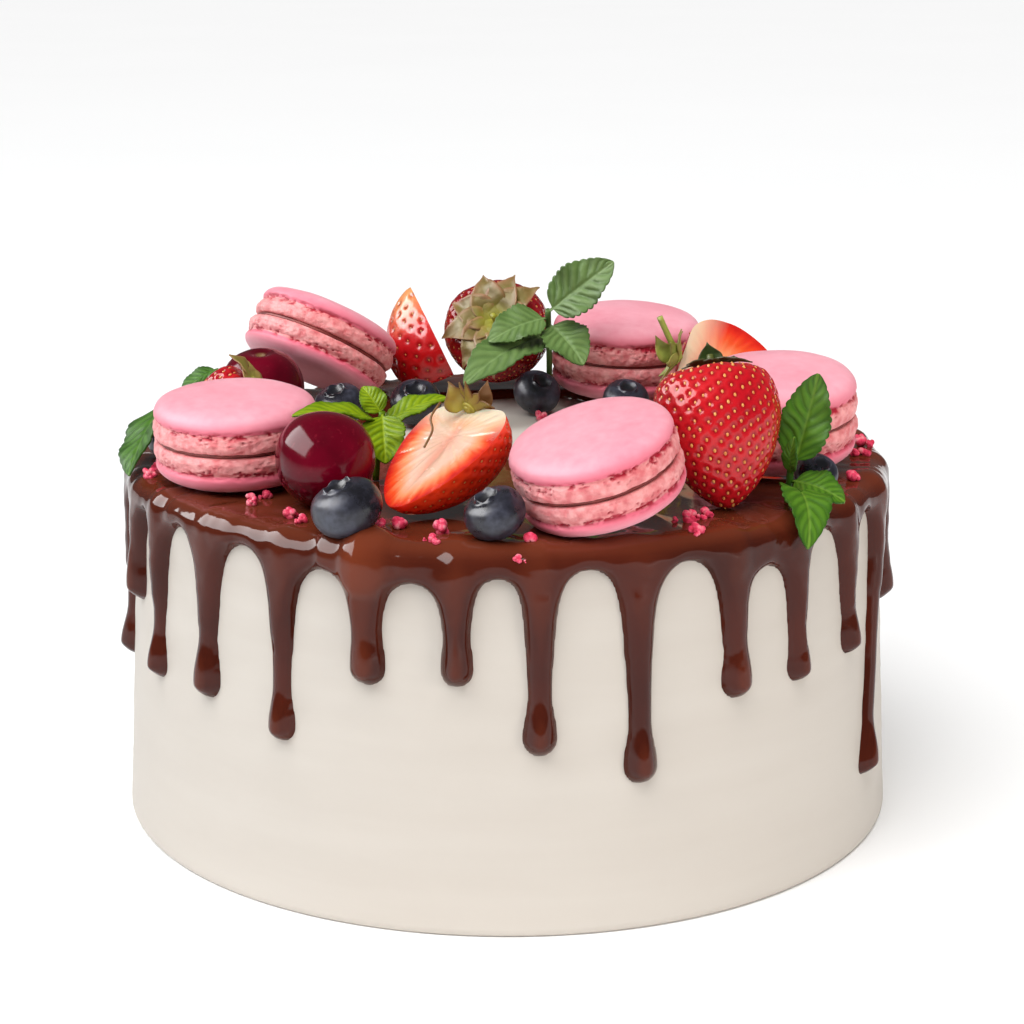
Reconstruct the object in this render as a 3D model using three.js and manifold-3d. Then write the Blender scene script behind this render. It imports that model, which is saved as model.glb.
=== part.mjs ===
// Drip cake with a crown of macarons and fruit
//
// A round cake under smooth white cream. Dark chocolate ganache lies on the top as a ring, runs over
// the rim and down the wall in long drips. Pink macarons, strawberries, cherries, blueberries and mint
// stand on it, with dried raspberry crumbs between them.
// Millimetres, +Z up. The origin is the centre of the flat base and -Y is the front.

import * as THREE from "three";
import { mergeVertices } from "three/addons/utils/BufferGeometryUtils.js";
import Module from "manifold-3d";

const wasm = await Module();
wasm.setup();

// Driving dimensions

const BASE_RADIUS = 99.4;
const TOP_RADIUS = 94.6;
const CAKE_HEIGHT = 88.5;
const RIM_FILLET = 2.4;
const CAKE_SEGMENTS = 60;

const GAP = 0.4;
const GANACHE_THICKNESS = 2.2;
const GANACHE_SWELL = 0.6;
const OPENING_RADIUS = 40;
const OPENING_SHIFT = 30;
const ARCH_DEPTH = 11;
const DRIP_NECK = 3.1;
const DRIP_BULB = 3.9;

const MACARON_RADIUS = 20.3;
const MACARON_SEGMENTS = 15;
const FILLING_HALF = 0.8;

const CHERRY_RADIUS = 11.6;
const LEAF_THICKNESS = 0.6;

const GANACHE_TOP = CAKE_HEIGHT + GANACHE_THICKNESS;

const degrees = THREE.MathUtils.degToRad;
const vector = (x, y, z) => new THREE.Vector3(x, y, z);

// Colour, roughness and metalness of each material

const FINISH = {
  cream: { color: 0xebe3d8, roughness: 0.6 },
  ganache: { color: 0x3c1a12, roughness: 0.18 },
  macaron: { color: 0xee8a9b, roughness: 0.7 },
  filling: { color: 0xa83a4c, roughness: 0.6 },
  cherry: { color: 0x4e0a1c, roughness: 0.15 },
  strawberry: { color: 0xc2121a, roughness: 0.3 },
  blueberry: { color: 0x232a3d, roughness: 0.5 },
  mint: { color: 0x3a7a35, roughness: 0.5 },
  calyx: { color: 0x6b6a2c, roughness: 0.6 },
};

// The same run of numbers between 0 and 1 for the same seed

function randomFrom(seed) {
  let state = seed >>> 0;
  return () => {
    state = (state + 0x6d2b79f5) >>> 0;
    let t = Math.imul(state ^ (state >>> 15), state | 1);
    t ^= t + Math.imul(t ^ (t >>> 7), t | 61);
    return ((t ^ (t >>> 14)) >>> 0) / 4294967296;
  };
}

// Closed surfaces from points and faces, and solids that join and cut

function surface(points, faces) {
  const geometry = new THREE.BufferGeometry().setFromPoints(points);
  geometry.setIndex(faces);
  return geometry;
}

function welded(geometry) {
  const bare = geometry.clone();
  bare.deleteAttribute("normal");
  bare.deleteAttribute("uv");
  const merged = mergeVertices(bare, 1e-4);
  const corners = merged.index.array;
  const faces = [];
  for (let i = 0; i < corners.length; i += 3) {
    const [a, b, c] = corners.slice(i, i + 3);
    if (a !== b && b !== c && c !== a) {
      faces.push(a, b, c);
    }
  }
  merged.setIndex(faces);
  return merged;
}

function solidOf(geometry) {
  const mesh = welded(geometry);
  return new wasm.Manifold(
    new wasm.Mesh({
      numProp: 3,
      vertProperties: mesh.attributes.position.array,
      triVerts: new Uint32Array(mesh.index.array),
    }),
  );
}

function geometryOf(solid) {
  const mesh = solid.getMesh();
  const geometry = new THREE.BufferGeometry();
  geometry.setAttribute("position", new THREE.BufferAttribute(mesh.vertProperties, 3));
  geometry.setIndex(new THREE.BufferAttribute(mesh.triVerts, 1));
  return geometry;
}

function join(geometries) {
  return geometryOf(geometries.map(solidOf).reduce((whole, next) => whole.add(next)));
}

function cut(geometry, tool) {
  return geometryOf(solidOf(geometry).subtract(solidOf(tool)));
}

// A profile of [radius, height] pairs, from the axis back to the axis, turned round the Z axis

function revolve(profile, segments) {
  const points = profile.map(([radius, height]) => new THREE.Vector2(radius, height));
  return welded(new THREE.LatheGeometry(points, segments).rotateX(Math.PI / 2));
}

// Each vertex moved by a function of its own place

function reshaped(geometry, move) {
  const position = geometry.attributes.position;
  const point = vector(0, 0, 0);
  for (let i = 0; i < position.count; i += 1) {
    point.fromBufferAttribute(position, i);
    move(point);
    position.setXYZ(i, point.x, point.y, point.z);
  }
  return geometry;
}

// Rings of equally many points joined one to the next, capped at both ends or closed into a ring

function loft(rings, closed = false) {
  const count = rings[0].length;
  const points = rings.flat();
  const faces = [];
  const spans = closed ? rings.length : rings.length - 1;
  for (let i = 0; i < spans; i += 1) {
    const near = i * count;
    const far = ((i + 1) % rings.length) * count;
    for (let j = 0; j < count; j += 1) {
      const next = (j + 1) % count;
      faces.push(near + j, near + next, far + next, near + j, far + next, far + j);
    }
  }
  if (!closed) {
    const last = (rings.length - 1) * count;
    for (let j = 1; j < count - 1; j += 1) {
      faces.push(0, j + 1, j, last, last + j, last + j + 1);
    }
  }
  return surface(points, faces);
}

// A thin solid from an open sheet: its faces, the same faces again set back, and a wall round the rim

function thickened(points, faces, rim, back) {
  const all = [...points, ...points.map((point) => point.clone().add(back))];
  const shift = points.length;
  const closed = [...faces];
  for (let i = 0; i < faces.length; i += 3) {
    closed.push(faces[i] + shift, faces[i + 2] + shift, faces[i + 1] + shift);
  }
  rim.forEach((from, i) => {
    const to = rim[(i + 1) % rim.length];
    closed.push(from, from + shift, to + shift, from, to + shift, to);
  });
  return surface(all, closed);
}

const cake = new THREE.Group();

function piece(name, geometry, finish, parent = cake) {
  const look = FINISH[finish];
  const material = new THREE.MeshStandardMaterial({
    color: look.color,
    roughness: look.roughness,
    metalness: 0,
  });
  const mesh = new THREE.Mesh(geometry, material);
  mesh.name = name;
  parent.add(mesh);
  return mesh;
}

// Turns an object so that its own +Z points along an axis, after a spin about that axis

function stand(object, place, axis, spin = 0) {
  object.position.set(...place);
  const lean = new THREE.Quaternion().setFromUnitVectors(
    vector(0, 0, 1),
    vector(...axis).normalize(),
  );
  const turn = new THREE.Quaternion().setFromAxisAngle(vector(0, 0, 1), degrees(spin));
  object.quaternion.copy(lean.multiply(turn));
  return object;
}

// The same, with the object's own +Y turned towards a face direction

function standFacing(object, place, axis, face) {
  const up = vector(...axis).normalize();
  const side = vector(...face).cross(up).normalize();
  const front = up.clone().cross(side);
  object.position.set(...place);
  object.quaternion.setFromRotationMatrix(new THREE.Matrix4().makeBasis(side, front, up));
  return object;
}

// The cream-covered cake: a wall that leans in a little, a bevelled rim and a flat top

const FILLET_BOTTOM = CAKE_HEIGHT - RIM_FILLET;

function wallRadius(z) {
  return BASE_RADIUS + (TOP_RADIUS - BASE_RADIUS) * Math.min(z / FILLET_BOTTOM, 1);
}

function filletPoint(angle, grow) {
  const reach = RIM_FILLET + grow;
  return [
    TOP_RADIUS - RIM_FILLET + reach * Math.cos(degrees(angle)),
    FILLET_BOTTOM + reach * Math.sin(degrees(angle)),
  ];
}

// A dried raspberry crumb, set into the face it lies on

function crumbSolid([x, y, size], level, random) {
  const crumb = new THREE.IcosahedronGeometry(size, 0);
  crumb.scale(0.9 + 0.4 * random(), 0.8 + 0.3 * random(), 0.8 + 0.2 * random());
  crumb.rotateX(3 * random()).rotateZ(6 * random());
  return crumb.translate(x, y, level + 0.3 * size);
}

const CREAM_CRUMB = [9.2, 40.4, 2.4];

const creamBody = revolve(
  [
    [0, 0],
    [BASE_RADIUS - 0.8, 0],
    [BASE_RADIUS, 0.8],
    filletPoint(0, 0),
    filletPoint(90, 0),
    [0, CAKE_HEIGHT],
  ],
  CAKE_SEGMENTS,
);
piece("cream_cake", join([creamBody, crumbSolid(CREAM_CRUMB, CAKE_HEIGHT, randomFrom(3))]), "cream");

// Drips: angle from the front, height of the tip, sideways slant at the tip and a size factor

const DRIPS = [
  [-70.2, 61, 0, 1],
  [-60.3, 45.9, 0, 0.92],
  [-46.5, 47.3, 0, 1.12],
  [-32.2, 42.2, 0, 0.95],
  [-19.2, 58.9, 0.5, 1.05],
  [-6.7, 59.9, 0, 0.95],
  [4.3, 43.9, 0, 1.02],
  [17.7, 35.9, 0.5, 1.06],
  [32.6, 52.3, 0.5, 1.08],
  [44.4, 52, 0.5, 0.92],
  [57.6, 52.9, 1, 0.92],
  [71.5, 19.1, -13, 1],
  [85, 53.7, 0, 1],
  [100, 47, 0, 0.95],
  [115.5, 39, 0.5, 1.05],
  [132, 56, 0, 0.92],
  [148.5, 44, -0.5, 1],
  [165, 53, 0, 1.08],
  [181.5, 35, 0.5, 1],
  [198, 56, 0, 0.95],
  [214, 47, 0.5, 1.05],
  [230, 57, 0, 1],
  [246, 29, 0, 1.1],
  [262, 50, 0.5, 0.95],
  [277, 40, 0, 0.9],
].map(([angle, end, slant, size]) => ({ angle, end, slant, size }));

// Height of the top of the bare arch after each drip

const ARCH_TOPS = [
  84.3, 85, 85.2, 83.2, 81.9, 83.5, 85.2, 85.2, 80.6, 85.2, 84.7, 83.5, 84.5, 83, 85, 84, 82.5, 84.8, 84,
  85, 83, 84.2, 85, 83, 84.4,
];

// Places across an arch, as shares of its half width, where the ganache has a section

const ARCH_SHARES = [-0.93, -0.74, -0.38, 0.38, 0.74, 0.93];

function onRing(angle, radius, z) {
  return vector(radius * Math.sin(degrees(angle)), -radius * Math.cos(degrees(angle)), z);
}

// Distance from the axis to the edge of the round opening in the ganache, which lies towards the back

function innerRadius(angle) {
  const a = degrees(angle);
  const toward = -OPENING_SHIFT * Math.cos(a);
  const edge = toward + Math.sqrt(toward ** 2 - OPENING_SHIFT ** 2 + OPENING_RADIUS ** 2);
  return edge * (1 + 0.03 * Math.sin(3 * a) + 0.02 * Math.sin(7 * a + 1));
}

// One section of the ganache ring: out over the top, down to the edge, and back along the cream

function ganacheSection(angle, edge, swell) {
  const inner = innerRadius(angle);
  const reach = GANACHE_THICKNESS + GANACHE_SWELL * swell;
  const outside = [
    [inner + 2.6, GANACHE_TOP],
    [TOP_RADIUS - RIM_FILLET - 1, GANACHE_TOP],
    filletPoint(50, reach + 0.1),
    filletPoint(5, reach + 0.1),
    [wallRadius(edge) + 0.85 * reach, edge + 0.4],
  ];
  const inside = [
    [wallRadius(edge) + GAP, edge],
    filletPoint(0, GAP),
    filletPoint(90, GAP),
    [inner, CAKE_HEIGHT + GAP],
  ];
  return [...outside, ...inside].map(([radius, z]) => onRing(angle, radius, z));
}

function archDrop(share, halfWidth) {
  const across = share * halfWidth;
  const fall = (0.085 * across * across) / (1 - share * share) ** 0.6;
  return Math.min(fall, ARCH_DEPTH);
}

function ganacheBand() {
  const sections = [];
  DRIPS.forEach((drip, i) => {
    const next = DRIPS[(i + 1) % DRIPS.length];
    const span = (next.angle - drip.angle + 360) % 360;
    const neck = (360 * DRIP_NECK) / (2 * Math.PI * TOP_RADIUS);
    const halfAngle = span / 2 - neck;
    const halfWidth = degrees(halfAngle) * TOP_RADIUS;
    ARCH_SHARES.forEach((share) => {
      const angle = drip.angle + span / 2 + share * halfAngle;
      const edge = ARCH_TOPS[i] - archDrop(share, halfWidth);
      sections.push(ganacheSection(angle, edge, Math.abs(share)));
    });
  });
  return loft(sections, true);
}

// A drip: a flat back along the wall and a bulging face, wide where it leaves the rim, with a
// slim neck and a round drop at its end

function dripSolid({ angle, end, slant, size }) {
  const neck = DRIP_NECK * size;
  const bulb = DRIP_BULB * size;
  const fall = FILLET_BOTTOM - end;
  const stations = [
    [end, bulb * 0.34, 1.4],
    [end + 1.5, bulb * 0.8, 3],
    [end + 4.6, bulb, 3.5],
    [end + Math.min(11.5, fall * 0.36), neck, 2.5],
    [FILLET_BOTTOM - Math.min(17, fall * 0.45), neck + 0.3, 2.6],
    [FILLET_BOTTOM - 5, neck + 2.5, 2.8],
    [FILLET_BOTTOM + 0.8, neck + 2.9, 1.7],
  ];
  const rings = stations.map(([z, half, depth]) => {
    const back = wallRadius(z) + GAP + 0.35;
    const shift = (slant * (FILLET_BOTTOM - Math.min(z, FILLET_BOTTOM))) / fall;
    const at = (across, out) => {
      const turn = (across + shift) / TOP_RADIUS / degrees(1);
      return onRing(angle + turn, back + out, z);
    };
    return [
      at(-half, 0),
      at(-0.64 * half, 0.78 * depth),
      at(0, depth),
      at(0.64 * half, 0.78 * depth),
      at(half, 0),
    ];
  });
  return loft(rings);
}

// Height of the ganache's upper face at a distance from the axis

function ganacheLevel(radius) {
  const middle = TOP_RADIUS - RIM_FILLET;
  const reach = RIM_FILLET + GANACHE_THICKNESS;
  const past = Math.min(Math.max(radius - middle, 0), reach);
  return FILLET_BOTTOM + Math.sqrt(reach * reach - past * past);
}

// Raspberry crumbs lie in the ganache: place on the top and size

const CRUMBS = [
  [-87.5, -33, 2.5],
  [-86.2, -27.4, 2],
  [-60, -59, 2.4],
  [-56.8, -52.5, 1.8],
  [-49.7, -70.6, 2.1],
  [-46.5, -75, 1.8],
  [-24.4, -79.5, 2.4],
  [-14.8, -84.5, 2.8],
  [-16.3, -91, 1.7],
  [5, -92, 2.1],
  [2.3, -96.5, 1.6],
  [41.5, -74.1, 2.5],
  [45.3, -70.5, 2],
  [42.6, -83, 2.1],
  [91, 1.3, 2.6],
  [90.5, -10.5, 2.2],
  [84, -35.5, 2.4],
  [60, 58, 2],
  [-46, 76, 2.1],
  [-78, 44, 2],
];

const crumbRandom = randomFrom(7);
const crumbs = CRUMBS.map((crumb) => {
  return crumbSolid(crumb, ganacheLevel(Math.hypot(crumb[0], crumb[1])), crumbRandom);
});
piece("ganache", join([ganacheBand(), ...DRIPS.map(dripSolid), ...crumbs]), "ganache");

// Macarons: two domed shells with ruffled feet and a thin filling between them

const SHELL_PROFILE = [
  [0, 0],
  [0.89, 0],
  [0.96, 1.4],
  [0.945, 4.5],
  [1, 5.3],
  [0.97, 7],
  [0.7, 9.3],
  [0, 10.3],
];

function macaronShell(random) {
  const profile = SHELL_PROFILE.map(([share, height]) => [share * MACARON_RADIUS, height]);
  return reshaped(revolve(profile, MACARON_SEGMENTS), (point) => {
    const inFoot = point.z > 1 && point.z < 5 && Math.hypot(point.x, point.y) > 1;
    const ruffle = inFoot ? 0.985 + 0.03 * random() : 1;
    point.x *= ruffle;
    point.y *= ruffle;
  });
}

function fillingDisc() {
  const radius = 0.86 * MACARON_RADIUS;
  return new THREE.CylinderGeometry(radius, radius, 2 * FILLING_HALF, MACARON_SEGMENTS).rotateX(
    Math.PI / 2,
  );
}

const MACARONS = [
  { place: [-65.6, -36, 102.7], axis: [0, -0.07, 0.998], wide: 0.98, thick: 0.97 },
  { place: [-51.8, 53, 107.7], axis: [0.39, 0.36, 0.85], wide: 1, thick: 0.94 },
  { place: [20.2, -77, 104.9], axis: [-0.26, -0.18, 0.95], wide: 0.95, thick: 0.94 },
  { place: [33.5, 65.5, 103.4], axis: [0.02, -0.06, 1], wide: 1.03, thick: 1.08 },
  { place: [66, -23, 105.2], axis: [-0.04, -0.13, 0.98], wide: 0.99, thick: 1.1 },
];

MACARONS.forEach(({ place, axis, wide, thick }, i) => {
  const random = randomFrom(20 + i);
  const macaron = new THREE.Group();
  const name = `macaron_${i + 1}`;
  const shellStart = FILLING_HALF + 0.35;
  const upper = piece(`${name}_upper_shell`, macaronShell(random), "macaron", macaron);
  upper.position.z = shellStart;
  upper.scale.z = thick;
  const lower = piece(`${name}_lower_shell`, macaronShell(random), "macaron", macaron);
  lower.rotation.x = Math.PI;
  lower.position.z = -shellStart;
  lower.scale.z = thick;
  piece(`${name}_filling`, fillingDisc(), "filling", macaron);
  macaron.scale.set(wide, wide, 1);
  cake.add(stand(macaron, place, axis, 37 * i));
});

// Cherries: round, with a dimple where the stem came out

const CHERRY_PROFILE = [
  [0, -0.97],
  [0.42, -0.89],
  [0.8, -0.6],
  [0.99, -0.12],
  [0.96, 0.32],
  [0.74, 0.7],
  [0.36, 0.9],
  [0.14, 0.88],
  [0, 0.78],
];

function cherrySolid(size) {
  const radius = CHERRY_RADIUS * size;
  return revolve(
    CHERRY_PROFILE.map(([across, up]) => [across * radius, up * radius]),
    16,
  );
}

const CHERRIES = [
  { place: [-42.2, -61, 102.4], axis: [0.1, 0.5, 0.86], size: 1 },
  { place: [-65, 20, 101.8], axis: [0, -0.15, 1], size: 0.96 },
];

CHERRIES.forEach(({ place, axis, size }, i) => {
  stand(piece(`cherry_${i + 1}`, cherrySolid(size), "cherry"), place, axis);
});

// Strawberries: shares of the length from the tip, with shares of the widest radius

const BERRY_PROFILE = [
  [0, 0],
  [0.22, 0.03],
  [0.54, 0.16],
  [0.8, 0.34],
  [0.96, 0.54],
  [1, 0.7],
  [0.93, 0.87],
  [0.68, 0.975],
  [0.25, 0.975],
  [0, 0.94],
];

function berrySolid(radius, length) {
  const profile = BERRY_PROFILE.map(([across, along]) => [across * radius, along * length]);
  return reshaped(revolve(profile, 12), (point) => {
    const angle = Math.atan2(point.y, point.x);
    const uneven = 1 + 0.035 * Math.sin(2 * angle + 0.6) + 0.02 * Math.sin(3 * angle);
    point.x *= uneven;
    point.y *= uneven;
  });
}

// A halved berry: the side of it that lies behind a plane through its axis

function halved(berry) {
  const reach = 80;
  const frontHalf = new THREE.BoxGeometry(reach, reach, 2 * reach).translate(0, reach / 2, 0);
  return cut(berry, frontHalf);
}

// A calyx: a star of sepals with a short stem

function calyxSolid({ reach, sepals, rise, stem, seed }) {
  const random = randomFrom(seed);
  const points = [vector(0, 0, 0.3)];
  const count = 2 * sepals;
  for (let j = 0; j < count; j += 1) {
    const angle = (2 * Math.PI * j) / count;
    points.push(vector(0.34 * reach * Math.cos(angle), 0.34 * reach * Math.sin(angle), 0.35));
  }
  for (let j = 0; j < count; j += 1) {
    const isTip = j % 2 === 0;
    const angle = (2 * Math.PI * (j + (isTip ? 0.4 * (random() - 0.5) : 0))) / count;
    const far = isTip ? reach * (0.85 + 0.3 * random()) : 0.5 * reach;
    const up = isTip ? rise * (0.6 + 0.8 * random()) : 0.25 * rise;
    points.push(vector(far * Math.cos(angle), far * Math.sin(angle), 0.4 + up));
  }
  const faces = [];
  const rim = [];
  for (let j = 0; j < count; j += 1) {
    const next = (j + 1) % count;
    faces.push(0, 1 + j, 1 + next);
    faces.push(1 + j, 1 + count + j, 1 + count + next, 1 + j, 1 + count + next, 1 + next);
    rim.push(1 + count + j);
  }
  const star = thickened(points, faces, rim, vector(0, 0, -0.7));
  const stalk = new THREE.CylinderGeometry(0.8, 1, stem, 6).rotateX(Math.PI / 2);
  return join([star, stalk.translate(0, 0, stem / 2 - 0.2)]);
}

const STRAWBERRIES = [
  {
    tip: [50.9, -64.5, 91.7],
    axis: [-0.1, 0.38, 0.92],
    face: [0, -1, 0],
    radius: 14.5,
    length: 33,
    isHalf: false,
    calyx: { reach: 8.5, sepals: 6, rise: 3.5, stem: 5, seed: 31 },
  },
  {
    tip: [-26, -76.5, 95.2],
    axis: [0.56, 0.61, 0.56],
    face: [-0.55, -0.45, 0.7],
    radius: 13.8,
    length: 33.5,
    isHalf: true,
    calyx: { reach: 8.5, sepals: 6, rise: 4, stem: 6, seed: 32 },
  },
  {
    tip: [3.3, 84.5, 97.6],
    axis: [-0.28, -0.82, 0.5],
    face: [0, 0, 1],
    radius: 14.4,
    length: 33,
    isHalf: false,
    calyx: { reach: 13.5, sepals: 7, rise: -0.6, stem: 5, seed: 33 },
  },
  {
    tip: [75.5, 30, 97.3],
    axis: [-0.94, 0.05, 0.34],
    face: [-0.2, -0.85, 0.5],
    radius: 13.6,
    length: 31,
    isHalf: true,
    calyx: { reach: 8, sepals: 6, rise: 4, stem: 9, seed: 34 },
  },
  {
    tip: [-81.5, -2, 94],
    axis: [0.75, 0.03, 0.66],
    face: [-0.3, -0.6, 0.75],
    radius: 8,
    length: 21,
    isHalf: false,
    calyx: { reach: 6.5, sepals: 6, rise: 1.6, stem: 3, seed: 35 },
  },
  {
    tip: [-27.4, 69.3, 120.6],
    axis: [0.42, 0.04, -0.9],
    face: [0.88, 0.12, 0.46],
    radius: 15.2,
    length: 26.5,
    isHalf: true,
  },
];

STRAWBERRIES.forEach(({ tip, axis, face, radius, length, isHalf, calyx }, i) => {
  const berry = new THREE.Group();
  const name = `strawberry_${i + 1}`;
  const whole = berrySolid(radius, length);
  piece(name, isHalf ? halved(whole) : whole, "strawberry", berry);
  if (calyx) {
    const crown = piece(`${name}_calyx`, calyxSolid(calyx), "calyx", berry);
    crown.position.z = length + 0.4;
  }
  cake.add(standFacing(berry, tip, axis, face));
});

// Blueberries: a flattened ball with a shallow crown

const BLUEBERRY_PROFILE = [
  [0, -0.78],
  [0.62, -0.62],
  [0.97, -0.1],
  [0.84, 0.44],
  [0.42, 0.72],
  [0, 0.58],
];

const BLUEBERRIES = [
  { place: [-35.7, -85, 97.4], axis: [-0.35, -0.1, 0.9], radius: 8.3 },
  { place: [-2.8, -89.3, 97.2], axis: [-0.4, -0.2, 0.9], radius: 7.2 },
  { place: [32.3, 37, 95.2], axis: [0.1, -0.4, 0.9], radius: 6.6 },
  { place: [8.2, 48.5, 94.8], axis: [0.3, -0.5, 0.8], radius: 6.8 },
  { place: [-44.4, 17.8, 98], axis: [-0.2, -0.3, 0.9], radius: 7 },
  { place: [-24.8, 33, 95.4], axis: [0, -0.5, 0.85], radius: 7.2 },
  { place: [-85.2, -13.5, 96.2], axis: [-0.4, -0.2, 0.9], radius: 5.6 },
  { place: [73, -50, 96.4], axis: [0.3, -0.5, 0.8], radius: 5.4 },
  { place: [-40, 82.5, 97.6], axis: [-0.2, 0.3, 0.9], radius: 7 },
  { place: [64, 58, 97.8], axis: [0.3, 0.4, 0.85], radius: 7 },
];

BLUEBERRIES.forEach(({ place, axis, radius }, i) => {
  const berry = revolve(
    BLUEBERRY_PROFILE.map(([across, up]) => [across * radius, up * radius]),
    11,
  );
  stand(piece(`blueberry_${i + 1}`, berry, "blueberry"), place, axis);
});

// Mint: a leaf is a thin sheet, folded along its midrib and arched from base to tip

const LEAF_STATIONS = [0, 0.14, 0.32, 0.56, 0.8, 1];

function leafSolid({ base, tip, face, width, arch = 0.1, fold = 0.2 }) {
  const from = vector(...base);
  const along = vector(...tip).sub(from);
  const length = along.length();
  const side = vector(...face).cross(along).normalize();
  const normal = along.clone().normalize().cross(side);
  const points = [];
  LEAF_STATIONS.forEach((share, i) => {
    const blade = Math.max(share - 0.08, 0) / 0.92;
    const outline = Math.sin(Math.PI * blade ** 0.72) ** 0.75;
    const half = Math.max((width / 2) * outline, 0.35);
    const bow = arch * length * 4 * share * (1 - share);
    const middle = from.clone().addScaledVector(along, share).addScaledVector(normal, bow);
    const wave = 0.05 * width * (i % 2 === 0 ? 1 : -1);
    const edge = (sign) =>
      middle
        .clone()
        .addScaledVector(side, sign * half)
        .addScaledVector(normal, fold * half + sign * wave);
    points.push(edge(-1), middle, edge(1));
  });
  const faces = [];
  const rows = LEAF_STATIONS.length;
  for (let i = 0; i < rows - 1; i += 1) {
    for (let j = 0; j < 2; j += 1) {
      const a = 3 * i + j;
      faces.push(a, a + 4, a + 1, a, a + 3, a + 4);
    }
  }
  const rim = [];
  for (let i = 0; i < rows; i += 1) {
    rim.push(3 * i);
  }
  rim.push(3 * rows - 2);
  for (let i = rows - 1; i >= 0; i -= 1) {
    rim.push(3 * i + 2);
  }
  rim.push(1);
  return thickened(points, faces, rim, normal.multiplyScalar(-LEAF_THICKNESS));
}

function stemSolid(places, radius) {
  const path = new THREE.CatmullRomCurve3(places.map((place) => vector(...place)));
  const corners = [0, 1, 2, 3].map((k) => {
    const turn = degrees(90 * k);
    return new THREE.Vector2(radius * Math.cos(turn), radius * Math.sin(turn));
  });
  return new THREE.ExtrudeGeometry(new THREE.Shape(corners), { extrudePath: path, steps: 2 });
}

const SPRIGS = [
  {
    stem: [
      [11, 42, 119],
      [11.6, 52, 104],
      [11.8, 59, 89.3],
    ],
    leaves: [
      { base: [11, 42, 118.5], tip: [28.5, 38, 134], face: [-0.2, -0.9, 0.4], width: 12.5, arch: 0.02 },
      { base: [10.8, 43.4, 116.6], tip: [-5, 36, 111.5], face: [0, -0.6, 0.8], width: 10.5 },
      { base: [11.4, 44.6, 114.6], tip: [20.5, 33, 105.8], face: [0, -0.5, 0.85], width: 11.5 },
      { base: [11.2, 47, 111], tip: [-11.5, 26, 101.8], face: [-0.1, -0.5, 0.85], width: 12 },
    ],
  },
  {
    stem: [
      [66.2, -56, 99.5],
      [66, -56, 95.5],
      [65.8, -55, 91.2],
    ],
    leaves: [
      { base: [66.9, -56, 99.4], tip: [71.9, -55.5, 121.5], face: [-0.3, -0.9, 0.2], width: 12, arch: -0.04 },
      { base: [66.2, -56.8, 98], tip: [66.2, -60.5, 107.5], face: [-0.6, -0.8, 0.2], width: 4.2 },
      { base: [66.4, -56.4, 96.2], tip: [78, -63.5, 93], face: [0.2, -0.6, 0.8], width: 9.5 },
      { base: [65.7, -56, 94.4], tip: [68.5, -74.5, 85], face: [0.3, -0.6, 0.75], width: 12, arch: 0.26 },
    ],
  },
  {
    stem: [
      [-30, -40, 109],
      [-31, -38, 102],
      [-32, -36, 91.3],
    ],
    leaves: [
      { base: [-30, -40.4, 108.7], tip: [-28.8, -49, 98.6], face: [0, -0.8, 0.6], width: 10.5 },
      { base: [-30.1, -39.8, 108.4], tip: [-34.8, -37, 114.5], face: [0.3, -0.9, 0.2], width: 6.5 },
      { base: [-30.4, -39.6, 106.2], tip: [-50.5, -50, 110.4], face: [0, -0.25, 0.95], width: 7.5 },
      { base: [-30.2, -39.4, 105], tip: [-14.5, -32, 110.8], face: [0, -0.3, 0.95], width: 7.5 },
    ],
  },
];

SPRIGS.forEach(({ stem, leaves }, i) => {
  const parts = [stemSolid(stem, 0.9), ...leaves.map(leafSolid)];
  piece(`mint_sprig_${i + 1}`, join(parts), "mint");
});

const LOOSE_LEAVES = [
  { base: [-86.5, -7, 104.5], tip: [-92.3, -34, 92], face: [-0.75, -0.3, 0.6], width: 9, arch: 0.05 },
  { base: [-78, 33, 104.6], tip: [-88.5, 31, 97.6], face: [-0.3, -0.6, 0.7], width: 6 },
];

LOOSE_LEAVES.forEach((leaf, i) => {
  piece(`mint_leaf_${i + 1}`, leafSolid(leaf), "mint");
});

export default cake;
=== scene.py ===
# %% [markdown]
# # A drip cake with a crown of macarons and fruit
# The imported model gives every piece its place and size. Each cell below makes the fine surface of one
# piece around it: smooth cream, poured ganache, baked shells, fruit skins and veined leaves. Lengths in
# the cells are millimetres, because that is how a baker would measure them, and become metres when a
# mesh is made. Only the camera, the lights, the floor and the sockets of the shaders are in metres.

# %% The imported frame
import math

import bpy
import numpy as np
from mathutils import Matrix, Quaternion, Vector, noise


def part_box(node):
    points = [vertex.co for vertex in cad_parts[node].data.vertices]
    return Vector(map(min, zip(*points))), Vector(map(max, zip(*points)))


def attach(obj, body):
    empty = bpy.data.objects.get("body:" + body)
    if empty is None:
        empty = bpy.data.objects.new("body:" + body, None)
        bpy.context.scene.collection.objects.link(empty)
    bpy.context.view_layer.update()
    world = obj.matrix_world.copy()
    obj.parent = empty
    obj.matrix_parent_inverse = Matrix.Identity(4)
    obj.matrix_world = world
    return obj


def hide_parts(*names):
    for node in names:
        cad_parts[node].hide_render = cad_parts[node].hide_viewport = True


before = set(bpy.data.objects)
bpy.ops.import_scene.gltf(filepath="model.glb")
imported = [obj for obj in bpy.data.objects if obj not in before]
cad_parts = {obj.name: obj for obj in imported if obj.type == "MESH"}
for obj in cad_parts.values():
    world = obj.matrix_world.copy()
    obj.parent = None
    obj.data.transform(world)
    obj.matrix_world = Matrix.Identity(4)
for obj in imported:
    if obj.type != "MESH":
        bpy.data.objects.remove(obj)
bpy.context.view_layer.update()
print("nodes in the frame:", len(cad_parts))

# %% [markdown]
# ## Small tools for shapes
# Nearly every piece here is a grid of points: a profile turned round an axis, a leaf, a poured film. So
# the helpers work on whole arrays of points at once. A smooth curve runs through a few named points of a
# profile, which keeps the numbers few and the outline round.

# %% Curves and grids
MM = 0.001


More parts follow.
